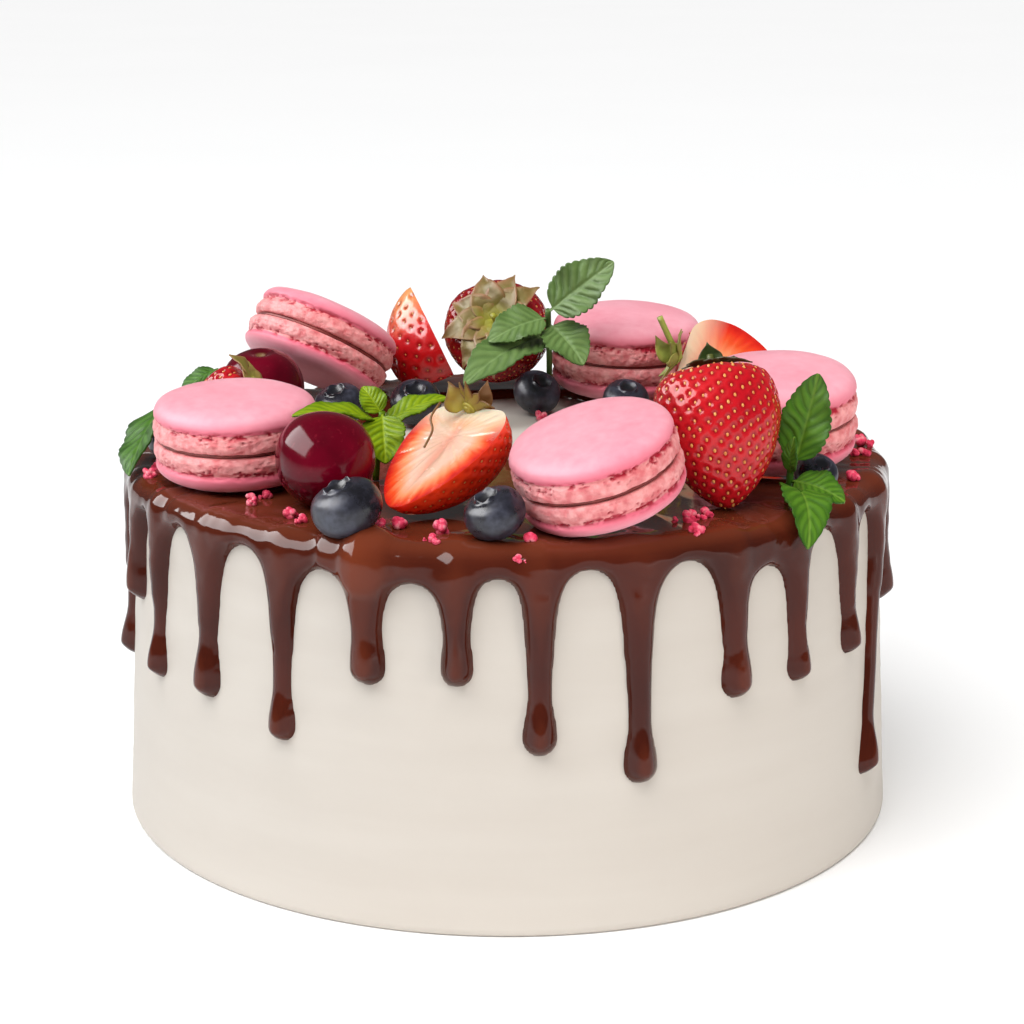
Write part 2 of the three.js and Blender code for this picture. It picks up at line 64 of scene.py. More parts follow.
def curve_through(knots, count, on_axis=False):
    """Points on a smooth curve through the knots. A profile that starts and ends on its axis is
    mirrored there, so that it meets the axis square."""
    knots = np.asarray(knots, float)
    before, after = 2 * knots[0] - knots[1], 2 * knots[-1] - knots[-2]
    if on_axis:
        before, after = knots[1] * (-1, 1), knots[-2] * (-1, 1)
    ends = np.vstack([before, knots, after])
    place = np.linspace(0, len(knots) - 1, count)
    first = np.minimum(place.astype(int), len(knots) - 2)
    f = (place - first)[:, None]
    a, b, c, d = (ends[first + k] for k in range(4))
    return 0.5 * (2 * b + (c - a) * f + (2 * a - 5 * b + 4 * c - d) * f**2 + (3 * b - a - 3 * c + d) * f**3)


def grid_faces(rows, columns, closed):
    """Four-sided faces of a grid of points, row after row. A closed grid joins its last column to
    its first."""
    across = np.arange(columns if closed else columns - 1)
    near = (np.arange(rows - 1)[:, None] * columns + across).ravel()
    beside = (np.arange(rows - 1)[:, None] * columns + (across + 1) % columns).ravel()
    return np.stack([near, beside, beside + columns, near + columns], axis=1)


def capped(rings, start, end):
    """Points and faces of a row of rings, closed by a fan to one point before it and one after it."""
    rows, segments = rings.shape[:2]
    points = np.vstack([rings.reshape(-1, 3), start, end])
    faces = grid_faces(rows, segments, closed=True).tolist()
    last = (rows - 1) * segments
    for near in range(segments):
        after = (near + 1) % segments
        faces.append((len(points) - 2, after, near))
        faces.append((len(points) - 1, last + near, last + after))
    return points, faces


def revolve(profile, segments):
    """Points, faces and turn angles of a profile of radius and height pairs, from axis to axis."""
    angles = np.linspace(0, 2 * np.pi, segments, endpoint=False)
    radius, height = profile[1:-1, :1], profile[1:-1, 1:]
    rings = np.stack([radius * np.cos(angles), radius * np.sin(angles), height + 0 * angles], -1)
    points, faces = capped(rings, (0, 0, profile[0, 1]), (0, 0, profile[-1, 1]))
    return points, faces, np.concatenate([np.tile(angles, len(radius)), [0, 0]])


def thick_grid(front, back):
    """A thin closed solid between two grids of points of the same size."""
    rows, columns = front.shape[:2]
    shift = rows * columns
    number = np.arange(shift).reshape(rows, columns)
    rim = np.concatenate([number[0], number[1:, -1], number[-1, -2::-1], number[-2:0:-1, 0]])
    after = np.roll(rim, -1)
    walls = np.stack([rim, rim + shift, after + shift, after], 1)
    faces = grid_faces(rows, columns, closed=False)
    points = np.vstack([front.reshape(-1, 3), back.reshape(-1, 3)])
    return points, np.vstack([faces, faces[:, ::-1] + shift, walls]).tolist()


def merged(parts):
    """Several sets of points, faces and masks as one."""
    points, faces, *masks = zip(*parts)
    starts = np.cumsum([0, *map(len, points)]).tolist()
    moved = [[start + corner for corner in face] for start, part in zip(starts, faces) for face in part]
    return np.vstack(points), moved, [np.concatenate(values) for values in masks]


# %% Noise, fades and normals
def grain(points, size, octaves=2, seed=0):
    """Soft noise between about -1 and 1, with bumps of the given size."""
    shift = Vector((7.3 * seed, 3.1 * seed, 5.7 * seed))
    return np.array([noise.fractal(Vector(p) / size + shift, 1.0, 2.0, octaves) for p in points])


def pits(points, size, seed):
    """Distance to the nearest of many scattered spots, in shares of their spacing."""
    shift = Vector((4.9 * seed, 8.3 * seed, 2.1 * seed))
    return np.array([noise.voronoi(Vector(p) / size + shift)[0][0] for p in points])


def smooth_step(value, low, high):
    """A fade from 0 at the low value to 1 at the high one, level at both ends."""
    share = np.clip((value - low) / (high - low), 0, 1)
    return share * share * (3 - 2 * share)


def normals_of(points, faces):
    """Outward direction at each point of a mesh of triangles and four-sided faces."""
    total = np.zeros_like(points)
    for sides in (3, 4):
        face = np.array([f for f in faces if len(f) == sides], int).reshape(-1, sides)
        first, second, third, last = (points[face[:, k]] for k in (0, 1, 2, -1))
        cross = np.cross(third - first, last - second)
        for k in range(sides):
            np.add.at(total, face[:, k], cross)
    return total / np.maximum(np.linalg.norm(total, axis=1, keepdims=True), 1e-12)


# %% Placing a shape and making it a piece
def facing(axis, face):
    """Rows that turn a shape so that its +Z runs along the axis and its +Y looks towards face."""
    up = Vector(axis).normalized()
    side = Vector(face).cross(up).normalized()
    return np.array([side, up.cross(side), up])


def standing(axis, spin=0):
    """Rows that turn a shape so that its +Z runs along the axis, after a spin about it in degrees."""
    lean = Vector((0, 0, 1)).rotation_difference(Vector(axis))
    turn = Quaternion((0, 0, 1), math.radians(spin))
    return np.array((lean @ turn).to_matrix()).T


def set_on_cake(name, mesh, nodes):
    """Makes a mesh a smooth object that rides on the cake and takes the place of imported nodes."""
    mesh.polygons.foreach_set("use_smooth", [True] * len(mesh.polygons))
    made = bpy.data.objects.new(name, mesh)
    bpy.context.collection.objects.link(made)
    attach(made, "root")
    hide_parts(*nodes)


def piece(name, points, faces, finish, nodes, masks=None):
    """Makes a mesh from points in millimetres, with its masks kept as point attributes for its material."""
    mesh = bpy.data.meshes.new(name)
    mesh.from_pydata((points * MM).tolist(), [], faces)
    for key, values in (masks or {}).items():
        mesh.attributes.new(key, "FLOAT", "POINT").data.foreach_set("value", np.asarray(values, np.float32))
    mesh.materials.append(finish.material)
    set_on_cake(name, mesh, nodes)


# %% [markdown]
# ## Small tools for materials
# A finish is a sum of noises, masks and colours. Wrapping a socket lets the sum be written as one: the
# plus sign adds a Math node. Every other node comes from one method, so a finish reads as a recipe.

# %% Shader sums in plain Python
class Wire:
    """A shader socket that can be used in sums."""

    def __init__(self, finish, socket):
        self.finish = finish
        self.socket = socket

    def _math(self, operation, first, second):
        return self.finish.node("ShaderNodeMath", {"operation": operation}, {0: first, 1: second})

    def __add__(self, other):
        return self._math("ADD", self, other)

    def __radd__(self, other):
        return self._math("ADD", other, self)

    def __sub__(self, other):
        return self._math("SUBTRACT", self, other)

    def __rsub__(self, other):
        return self._math("SUBTRACT", other, self)

    def __mul__(self, other):
        return self._math("MULTIPLY", self, other)

    def __rmul__(self, other):
        return self._math("MULTIPLY", other, self)

    def __pow__(self, other):
        return self._math("POWER", self, other)

    def __rpow__(self, other):
        return self._math("POWER", other, self)


# %% A finish and its nodes
class Finish:
    """A material in the making, around one Principled shader."""

    def __init__(self, name, **constants):
        self.material = bpy.data.materials.new(name)
        self.material.use_nodes = True
        self.tree = self.material.node_tree
        self.shader = self.tree.nodes["Principled BSDF"]
        for key, value in constants.items():
            self.shader.inputs[key.replace("_", " ")].default_value = value

    def node(self, kind, settings=None, sockets=None, output=0):
        """Adds a node: its settings first, and then the values or links of its sockets."""
        made = self.tree.nodes.new(kind)
        for key, value in (settings or {}).items():
            if key == "stops":
                ramp = made.color_ramp
                while len(ramp.elements) < len(value):
                    ramp.elements.new(0.5)
                for element, (position, colour) in zip(ramp.elements, value):
                    element.position = position
                    element.color = (*colour, 1)
            else:
                setattr(made, key, value)
        for key, value in (sockets or {}).items():
            if isinstance(value, Wire):
                self.tree.links.new(value.socket, made.inputs[key])
            else:
                made.inputs[key].default_value = value
        return Wire(self, made.outputs[output])

    def place(self):
        return self.node("ShaderNodeTexCoord", output="Object")

    def mask(self, name):
        return self.node("ShaderNodeAttribute", {"attribute_name": name}, output="Fac")

    def noise(self, scale, detail=3.0, vector=None, roughness=0.5):
        sockets = {"Vector": vector or self.place(), "Scale": scale, "Detail": detail, "Roughness": roughness}
        return self.node("ShaderNodeTexNoise", None, sockets, output="Fac")

    def ramp(self, factor, *stops):
        return self.node("ShaderNodeValToRGB", {"stops": stops}, {"Fac": factor}, output="Color")

    def level(self, factor, low, high):
        return self.node("ShaderNodeMapRange", None, {"Value": factor, "From Min": low, "From Max": high})

    def mix(self, factor, first, second):
        first = first if isinstance(first, Wire) else (*first, 1)
        second = second if isinstance(second, Wire) else (*second, 1)
        return self.node("ShaderNodeMix", {"data_type": "RGBA"}, {0: factor, 6: first, 7: second}, output=2)

    def bump(self, height, distance, strength):
        sockets = {"Height": height, "Distance": distance, "Strength": strength}
        self.set("Normal", self.node("ShaderNodeBump", None, sockets))

    def set(self, socket, wire):
        self.tree.links.new(wire.socket, self.shader.inputs[socket])


# %% [markdown]
# ## Camera, floor and light
# The camera stands a little over half a metre in front of the cake and looks down on it by fifteen
# degrees. A wide skylight lights the pale floor evenly, and a soft window on each side rounds the fruit. A
# large bright card on the left lights nothing and only shows in what is glossy: it makes the white waves
# on the rim of the ganache. The rest of the room is dim, so that the ganache stays dark where it faces
# it. The floor is wide enough to fill the picture.

# %% Camera
CAMERA_PLACE = (0, -0.586, 0.231)
CAMERA_PITCH = 15.05
FOCAL_SHARE = 2336 / 1024
CENTRE_SHIFT = 4.5 / 1024
SENSOR = 36.0
NEAREST_SEEN = 0.01

camera_data = bpy.data.cameras.new("camera")
camera_data.sensor_width = SENSOR
camera_data.lens = FOCAL_SHARE * SENSOR
camera_data.shift_x = CENTRE_SHIFT
camera_data.clip_start = NEAREST_SEEN
camera = bpy.data.objects.new("camera", camera_data)
camera.location = CAMERA_PLACE
camera.rotation_euler = (math.radians(90 - CAMERA_PITCH), 0, 0)
bpy.context.collection.objects.link(camera)
bpy.context.scene.camera = camera
print("lens", round(camera_data.lens, 1), "mm")


# %% Windows and a card
LOOKED_AT = (0, 0, 0.08)


def window(name, azimuth, elevation, distance, width, height, power, tint=(1, 1, 1)):
    """A soft rectangular light that looks at the cake. Azimuth 0 is the front and 90 the right."""
    turn, lift = math.radians(azimuth), math.radians(elevation)
    away = Vector((math.sin(turn) * math.cos(lift), -math.cos(turn) * math.cos(lift), math.sin(lift)))
    data = bpy.data.lights.new(name, "AREA")
    data.shape = "RECTANGLE"
    data.size = width
    data.size_y = height
    data.energy = power
    data.color = tint
    light = bpy.data.objects.new(name, data)
    light.location = away * distance + Vector(LOOKED_AT)
    light.rotation_euler = away.to_track_quat("Z", "Y").to_euler()
    bpy.context.collection.objects.link(light)
    return light


# Azimuth, elevation, distance, width, height, power and tint
left_window = window("left_window", -60, 42, 1.3, 0.4, 0.5, 4.3, (0.84, 0.94, 1))
left_window.visible_glossy = False
left_card = window("left_card", -78, 35, 1.3, 1.9, 0.85, 48)
left_card.visible_diffuse = False
right_window = window("right_window", 52, 14, 1.4, 0.4, 0.6, 5.6, (1, 0.97, 0.92))
right_window.visible_glossy = False
print("two windows and a card")

# %% Skylight and room
SKY_POWER = 3.12
SKY_SPREAD = 60
SKY_TILT = (20, -10, 0)
ROOM_GLOW = 0.12

sky_data = bpy.data.lights.new("skylight", "SUN")
sky_data.energy = SKY_POWER
sky_data.angle = math.radians(SKY_SPREAD)
skylight = bpy.data.objects.new("skylight", sky_data)
skylight.rotation_euler = [math.radians(tilt) for tilt in SKY_TILT]
skylight.visible_glossy = False
bpy.context.collection.objects.link(skylight)

world = bpy.data.worlds.new("dim_room")
world.use_nodes = True
background = world.node_tree.nodes["Background"]
background.inputs["Color"].default_value = (1, 1, 1, 1)
background.inputs["Strength"].default_value = ROOM_GLOW
bpy.context.scene.world = world
bpy.context.scene.view_settings.view_transform = "Standard"
print("a skylight and a dim room")

# %% Floor
FLOOR_HALF = 20.0

floor_corners = [(x * FLOOR_HALF, y * FLOOR_HALF, 0) for x, y in ((-1, -1), (1, -1), (1, 1), (-1, 1))]
floor_mesh = bpy.data.meshes.new("floor")
floor_mesh.from_pydata(floor_corners, [], [(0, 1, 2, 3)])
floor_finish = Finish("pale_floor", Roughness=0.8)
pale = floor_finish.ramp(floor_finish.noise(3.0), (0.3, (0.975, 0.975, 0.975)), (0.7, (0.985, 0.985, 0.985)))
floor_finish.set("Base Color", pale)
floor_mesh.materials.append(floor_finish.material)
floor = bpy.data.objects.new("floor", floor_mesh)
bpy.context.collection.objects.link(floor)
print("floor", 2 * FLOOR_HALF, "m wide")

# %% [markdown]
# ## The cream coat
# A baker smooths the cream with a scraper held against the turning cake. The wall leans in a little,
# the rim is softly bevelled, and faint level smears are left by the blade. A profile turned round the
# axis gives the form, and long flat noise moves the wall in and out by a tenth of a millimetre or two.

# %% Cream profile
BASE_RADIUS = 99.4
TOP_RADIUS = 94.6
CAKE_HEIGHT = 88.5
RIM_FILLET = 2.4
FILLET_BOTTOM = CAKE_HEIGHT - RIM_FILLET
FLAT_RADIUS = TOP_RADIUS - RIM_FILLET
CREAM_SEGMENTS = 320
CREAM_STEP = 1.4
SMEAR_RADIUS = 30


def wall_radius(z):
    """Distance of the wall from the axis, which grows smaller up to the rim."""
    return BASE_RADIUS + (TOP_RADIUS - BASE_RADIUS) * np.minimum(z / FILLET_BOTTOM, 1)


def cream_profile():
    """Radius and height of the outline, from the middle of the base to the middle of the top."""
    bottom = [(0, 0), (60, 0), (97.6, 0), (98.8, 0.25), (99.3, 0.9)]
    wall = [(wall_radius(z), z) for z in np.arange(2.0, FILLET_BOTTOM, CREAM_STEP)]
    bend = np.radians(np.arange(0, 91, 15))
    rim = np.stack([FLAT_RADIUS + RIM_FILLET * np.cos(bend), FILLET_BOTTOM + RIM_FILLET * np.sin(bend)], 1)
    top = [(r, CAKE_HEIGHT) for r in np.arange(89.0, 2.0, -3.0)] + [(0, CAKE_HEIGHT)]
    return np.vstack([bottom, wall, rim, top])


# %% Smears on the wall
cream_points, cream_faces, cream_turns = revolve(cream_profile(), CREAM_SEGMENTS)
# The noise is read on a narrower and taller cake, so that on the real one it is long and flat
around = np.stack([np.cos(cream_turns), np.sin(cream_turns)], 1) * SMEAR_RADIUS
stretched = np.column_stack([around, cream_points[:, 2] * 1.5 + cream_points[:, 0] * 0.02])
smear = 0.16 * grain(stretched, 9, 3, seed=1) + 0.05 * grain(stretched * (3, 3, 1), 3, 2, seed=2)
on_wall = smooth_step(cream_points[:, 2], 1, 8)
outward = np.hypot(cream_points[:, 0], cream_points[:, 1])
cream_points[:, :2] *= (1 + (smear - 0.1) * on_wall / np.maximum(outward, 40))[:, None]
on_top = (cream_points[:, 2] > CAKE_HEIGHT - 0.1) & (outward < 90)
cream_points[on_top, 2] += 0.25 * grain(cream_points[on_top] * (1, 2, 1), 14, 3, seed=3)
print("smears up to", round(float(np.abs(smear).max()), 2), "mm")

# %% Cream finish
cream = Finish("cream_coat", Roughness=0.5)
long_smears = cream.node("ShaderNodeMapping", None, {"Vector": cream.place(), "Scale": (6, 6, 60)})
smears = cream.noise(1.6, 5.0, long_smears)
mottled = smears * 0.6 + cream.noise(14.0, 2.0) * 0.4
cream.set("Base Color", cream.ramp(mottled, (0.3, (0.563, 0.503, 0.443)), (0.7, (0.611, 0.557, 0.497))))
cream.set("Roughness", cream.level(smears, 0.3, 0.7) * 0.12 + 0.46)
cream.bump(smears + cream.noise(420.0, 3.0) * 0.25, 0.0002, 0.35)
piece("cream_coat", cream_points, cream_faces, cream, ["cream_cake"])
print("cream", len(cream_points), "points")

# %% [markdown]
# ## The poured ganache
# Warm ganache runs out over the top, folds over the rim and falls in drips that end in round drops. It
# is one film of changing thickness on the cream. So the mesh is a grid that follows the cream's own
# profile, and each point is lifted by the depth of the film there. Where there is no film the grid dips
# under the cream, and the edge that shows is where the two surfaces cross. Far from any film the grid
# is left out, and the border turns down deep into the cream.

# %% The pour's places
GANACHE_THICKNESS = 2.2
OPENING_RADIUS = 40
OPENING_SHIFT = 30
DRIP_NECK = 1.75
DRIP_BULB = 3.65
TIP_FALL = 0.6
ARCH_DEPTH = 22
ARCH_BEND = 0.085

# Angle from the front, height of the tip, sideways slant at the tip, size, and the height of the top of
# the bare arch after the drip
DRIPS = np.array([
    (-70.2, 61, 0, 1, 84.3), (-60.3, 45.9, 0, 0.92, 85), (-46.5, 47.3, 0, 1.12, 85.2),
    (-32.2, 42.2, 0, 0.95, 83.2), (-19.2, 58.9, 0.5, 1.05, 81.9), (-6.7, 59.9, 0, 0.95, 83.5),
    (4.3, 43.9, 0, 1.02, 85.2), (17.7, 35.9, 0.5, 1.06, 85.2), (32.6, 52.3, 0.5, 1.08, 80.6),
    (44.4, 52, 0.5, 0.92, 85.2), (57.6, 52.9, 1, 0.92, 84.7), (71.5, 19.1, -13, 1, 83.5),
    (85, 53.7, 0, 1, 84.5), (100, 47, 0, 0.95, 83), (115.5, 39, 0.5, 1.05, 85), (132, 56, 0, 0.92, 84),
    (148.5, 44, -0.5, 1, 82.5), (165, 53, 0, 1.08, 84.8), (181.5, 35, 0.5, 1, 84),
    (198, 56, 0, 0.95, 85), (214, 47, 0.5, 1.05, 83), (230, 57, 0, 1, 84.2), (246, 29, 0, 1.1, 85),
    (262, 50, 0.5, 0.95, 83), (277, 40, 0, 0.9, 84.4),
])
# Lumps where the pour folded over itself at the rim: angle, height, half width and depth
FOLDS = ((-19.0, 84.2, 5.4, 1.6), (-43.0, 87.5, 4.0, 0.4), (14.0, 87.0, 5.0, 0.3))
print(len(DRIPS), "drips and", len(FOLDS), "folds")

# %% The film's grid
GANACHE_COLUMNS = 1200
TOP_ROWS = 34
CREEP_START = 1.5
RIM_STEP = 13.0
WALL_STEP = 0.7
FILM_FOOT = 16

film_turns = np.linspace(0, 2 * np.pi, GANACHE_COLUMNS, endpoint=False)
toward = -OPENING_SHIFT * np.cos(film_turns)
opening = toward + np.sqrt(toward**2 - OPENING_SHIFT**2 + OPENING_RADIUS**2)
opening *= 1 + 0.03 * np.sin(3 * film_turns) + 0.02 * np.sin(7 * film_turns + 1)

top_share = np.linspace(0, 1, TOP_ROWS)[:, None] ** 0.9
top_radius = (opening - CREEP_START) * (1 - top_share) + FLAT_RADIUS * top_share
rim_bend = np.radians(np.arange(6 * RIM_STEP, -1, -RIM_STEP))[:, None] * np.ones(GANACHE_COLUMNS)
wall_z = np.arange(FILLET_BOTTOM - WALL_STEP, FILM_FOOT, -WALL_STEP)[:, None] * np.ones(GANACHE_COLUMNS)

# Radius and height of the cream under each point, and the way that the film lies on it
film_radius = np.vstack([top_radius, FLAT_RADIUS + RIM_FILLET * np.cos(rim_bend), wall_radius(wall_z)])
film_z = np.vstack([0 * top_radius + CAKE_HEIGHT, FILLET_BOTTOM + RIM_FILLET * np.sin(rim_bend), wall_z])
film_out = np.vstack([0 * top_radius, np.cos(rim_bend), 0 * wall_z + 1])
film_up = np.vstack([0 * top_radius + 1, np.sin(rim_bend), 0 * wall_z + 0.05])
film_rows = len(film_radius)

# How far below the rim a point is, with points on the top above it
below_rim = FILLET_BOTTOM - film_z - np.vstack([FLAT_RADIUS - top_radius, 0 * rim_bend, 0 * wall_z])
print("film grid", film_rows, "rows of", GANACHE_COLUMNS)


# %% Distances for drips and bare arches
def soft_union(first, second, blend):
    """The larger of two depths inside a shape, rounded where they meet."""
    share = np.clip(0.5 + 0.5 * (first - second) / blend, 0, 1)
    return second + (first - second) * share + blend * share * (1 - share)


def turned_by(angle, turns):
    """Arc in radians from each place to an angle, the short way round."""
    return (turns - math.radians(angle) + np.pi) % (2 * np.pi) - np.pi


def arch_inside(step, height, half_arch, reach, top):
    """Signed distance from the edge of a bare arch: positive in the film above it."""
    # The edge bends like a parabola at its top, and runs straight down where it meets the drip
    share = np.linspace(0, 0.99, 44)
    side = share * half_arch
    fall = ARCH_BEND * side**2 / (1 - share**2) ** 0.6
    bottom = top - ARCH_DEPTH
    edge = np.stack([side, top - fall], 1)[fall < ARCH_DEPTH]
    edge = np.vstack([edge, [(half_arch, bottom), (reach + 1, bottom)]])
    nearest = np.full(step.shape, np.inf)
    for (x0, z0), (x1, z1) in zip(edge[:-1], edge[1:]):
        run, rise = x1 - x0, z1 - z0
        along = np.clip(((step - x0) * run + (height - z0) * rise) / (run**2 + rise**2), 0, 1)
        nearest = np.minimum(nearest, np.hypot(step - x0 - along * run, height - z0 - along * rise))
    return np.where(height > np.interp(step, edge[:, 0], edge[:, 1]), nearest, -nearest)


# %% Where the film lies
CREST = 1.4
LEAN_REACH = 0.3
ARCH_LEAN = 0.09
FAR = 9.0
DRIP_REACH = 14
DRIP_BLEND = 1.6
ARCH_BLEND = 1.2
ARCH_OVERLAP = 0.6
DROP_DEPTH = 1.4
RIDGE_DEPTH = 0.8

# The columns of the grid lean with the one drip that runs aslant
drop = np.clip(FILLET_BOTTOM - film_z, 0, None)
angle, end, slant = DRIPS[np.abs(DRIPS[:, 2]).argmax(), :3]
lean = slant * drop / (FILLET_BOTTOM - end) / TOP_RADIUS
from_slant = turned_by(angle, film_turns)
film_turns = film_turns + lean * np.exp(-((from_slant / LEAN_REACH) ** 2))
# Only the near sides of the two bare arches beside it lean too
arch_turns = film_turns - lean * np.exp(-((from_slant / ARCH_LEAN) ** 2))

inside = np.full(film_z.shape, -FAR)
ridge = np.zeros(film_z.shape)
swollen = np.zeros(film_z.shape)
for index, (angle, end, slant, size, arch_top) in enumerate(DRIPS):
    fall = FILLET_BOTTOM - end
    span = math.radians((DRIPS[(index + 1) % len(DRIPS), 0] - angle) % 360)
    across = turned_by(angle, film_turns) * TOP_RADIUS - slant * drop / fall
    above_end = film_z - end + TIP_FALL
    # The drop at the end narrows slowly to the neck, which flares into the rim
    bulb = DRIP_BULB * size
    neck = size * (2.45 + 0.65 * smooth_step(above_end / fall, 0.3, 0.95))
    flare = 4.2 * np.exp(-drop / 3.4) + size * np.exp(-drop / 13)
    half = bulb + (neck - bulb) * smooth_step(above_end, bulb, 3.6 * bulb) + flare
    # The distance is softened at the middle, so that no crease runs down a drip
    down = np.clip(bulb - above_end, 0, None) * 0.94
    drip = np.sqrt(half**2 + CREST**2) - np.sqrt(across**2 + down**2 + CREST**2)
    inside = soft_union(inside, np.where(np.abs(across) < DRIP_REACH, drip, -FAR), DRIP_BLEND)
    drop_shape = np.hypot(across / bulb, np.where(above_end > bulb, 0.36, 0.95) * (above_end - bulb) / bulb)
    swollen = np.maximum(swollen, DROP_DEPTH * size * (1 - smooth_step(drop_shape, 0.0, 1.15)))
    along_drip = np.exp(-((across / (3.2 * size)) ** 2))
    ridge += RIDGE_DEPTH * size * along_drip * np.exp(-((below_rim - 1) / 10) ** 2)
    # The bare arch between this drip and the next
    reach = (span / 2) * TOP_RADIUS
    step = np.abs(turned_by(angle + math.degrees(span) / 2, arch_turns)) * TOP_RADIUS
    columns = np.flatnonzero(step.min(axis=0) <= reach + ARCH_OVERLAP)
    arch = np.full(film_z.shape, -FAR)
    arch[:, columns] = arch_inside(step[:, columns], film_z[:, columns], reach - DRIP_NECK, reach, arch_top)
    inside = soft_union(inside, np.where(step <= reach + ARCH_OVERLAP, arch, -FAR), ARCH_BLEND)

on_top_rows = np.arange(film_rows)[:, None] < TOP_ROWS
inside = np.where(on_top_rows, np.minimum(film_radius - opening, FAR), inside)
print("film over", round(100 * float((inside > 0).mean())), "% of its grid")

# %% How deep the film is
EDGE_ROUND = 3.0
DEEPEST = -1.5

# The pour gathers a little below the rim and thins out towards the ends of the drips
thickness = GANACHE_THICKNESS + 0.25 + 0.25 * smooth_step(below_rim, 3, 12)
thickness = thickness - 0.3 * smooth_step(below_rim, 14, 30) + swollen
for angle, height, half, depth in FOLDS:
    # A fold is a tongue from the top over the rim, with a round end
    below_fold = np.clip(height - film_z, 0, None) + 0.8 * np.clip(-below_rim, 0, None)
    reach = np.hypot(turned_by(angle, film_turns) * TOP_RADIUS, below_fold)
    thickness = thickness + depth * np.exp(-((reach / half) ** 6))
film_points = np.stack([film_radius * np.sin(film_turns), -film_radius * np.cos(film_turns), film_z], -1)
flat_points = film_points.reshape(-1, 3)
waves = grain(flat_points * (1, 1, 0.6), 15, 2, seed=5).reshape(film_z.shape)
ripple = grain(flat_points * (1, 1, 1.2), 6.5, 2, seed=6).reshape(film_z.shape)
near_rim = smooth_step(film_radius, 72, 92) * (1 - smooth_step(below_rim, 10, 26))
thickness = thickness + ridge + waves * (0.25 + 0.5 * near_rim) + ripple * 0.3 * near_rim

# The edge is as round under the cream as over it, so that it crosses the cream in a clean line
rounded = np.clip(np.abs(inside) / (EDGE_ROUND - 0.15 * swollen), 0, 1)
bulge = (rounded * (2 - rounded)) ** 0.62
film = np.where(inside > 0, thickness * bulge, np.maximum(-GANACHE_THICKNESS * bulge, DEEPEST))
print("film", round(float(film.max()), 2), "mm at its deepest")

# %% [markdown]
# The ganache climbs a little up whatever stands in it, so each cherry, blueberry and lying macaron has a
# bright ring round its foot. The rings are added to the film where the frame says that a topping stands.

# %% Rings round the toppings
CREEP = 1.5
COVERED = 0.5
BERRY_FOOT, BERRY_RING = 0.66, 0.95
SHELL_FOOT, SHELL_RING = 0.72, 0.5
ROUND_TOPPINGS = [f"blueberry_{k}" for k in range(1, 11)] + ["cherry_1", "cherry_2"]
LYING_SHELLS = [f"macaron_{k}_lower_shell" for k in (1, 3, 4, 5)]


def from_foot(node, foot):
    """Distance of the film's points from a topping's foot, which is a share of its half width, and the
    height of the topping over the film."""
    low, high = (np.array(corner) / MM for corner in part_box(node))
    centre = (low + high) / 2
    half_width = 0.25 * (high[0] - low[0] + high[1] - low[1])
    gap = np.hypot(film_points[..., 0] - centre[0], film_points[..., 1] - centre[1]) - foot * half_width
    return gap, max(low[2] - (CAKE_HEIGHT + GANACHE_THICKNESS), 0)


for node in ROUND_TOPPINGS:
    gap, lift = from_foot(node, BERRY_FOOT)
    ring = BERRY_RING * np.exp(-np.clip(gap, 0, None) / CREEP) * math.exp(-lift)
    film = film + np.where(film > COVERED, ring, 0)
for node in LYING_SHELLS:
    gap, _ = from_foot(node, SHELL_FOOT)
    film = film + np.where(film > COVERED, SHELL_RING * np.exp(-np.abs(gap) / CREEP), 0)
print(len(ROUND_TOPPINGS) + len(LYING_SHELLS), "rings")

# %% The ganache mesh
SUNK = -1.0
BACK = -1.9
DROOP = 0.1

# The drops at the ends hang a little lower than the place where they cling
film_hang = film_up - DROOP * swollen
film_outward = np.stack([film_out * np.sin(film_turns), -film_out * np.cos(film_turns), film_hang], -1)
# Faces far under the cream are left out, and a wall turns down from each edge that this leaves
face_side = (film_points + film_outward * film[..., None]).reshape(-1, 3)
back_side = (film_points + film_outward * BACK).reshape(-1, 3)
quads = grid_faces(film_rows, GANACHE_COLUMNS, closed=True)[:, ::-1]
kept = quads[(film.reshape(-1)[quads] > SUNK).any(axis=1)]
edges = np.concatenate([kept[:, [k, (k + 1) % 4]] for k in range(4)])
known = {tuple(edge) for edge in edges.tolist()}
border = sorted((a, b) for a, b in known if (b, a) not in known)
shift = len(face_side)
ganache_faces = kept.tolist() + [(b, a, a + shift, b + shift) for a, b in border]
all_points = np.vstack([face_side, back_side])
# Points that no face uses are left out, and the rest are numbered afresh
used = np.unique(np.concatenate([kept.ravel(), np.ravel(border) + shift]))
fresh = np.full(len(all_points), -1)
fresh[used] = np.arange(len(used))
ganache_faces = fresh[np.array(ganache_faces)].tolist()

# %% Ganache finish
ganache = Finish("dark_ganache", Roughness=0.07, Specular_IOR_Level=0.25)
pour_streaks = ganache.noise(38.0, 3.0)
# Painted light: where the film is thick it is painted lighter and redder, a glow of light through the drops
glow_where_thick = ganache.level(ganache.mask("depth"), 0.45, 1.0)
dark_pour = ganache.ramp(pour_streaks, (0.35, (0.047, 0.0075, 0.0036)), (0.65, (0.072, 0.0115, 0.0052)))
drip_colour = ganache.mix(glow_where_thick * 0.8, dark_pour, (0.18, 0.036, 0.014))
# Painted light: the faces that look up are painted lighter, as the top is lit from above
ganache.set("Base Color", ganache.mix(ganache.mask("level") * 0.6, drip_colour, (0.17, 0.036, 0.015)))
ganache.set("Roughness", ganache.level(ganache.noise(90.0, 4.0), 0.35, 0.7) * 0.06 + 0.05)
ganache.bump(ganache.noise(130.0, 3.0), 0.00025, 0.3)
# The level mask is how far a face looks up, and carries the painted light on the top
pour_masks = {"depth": film / film.max(), "level": smooth_step(film_up, 0.3, 1)}
pour_masks = {name: np.tile(values.ravel(), 2)[used] for name, values in pour_masks.items()}
piece("poured_ganache", all_points[used], ganache_faces, ganache, ["ganache"], pour_masks)
print("ganache", len(used), "points", 2 * len(ganache_faces), "triangles")
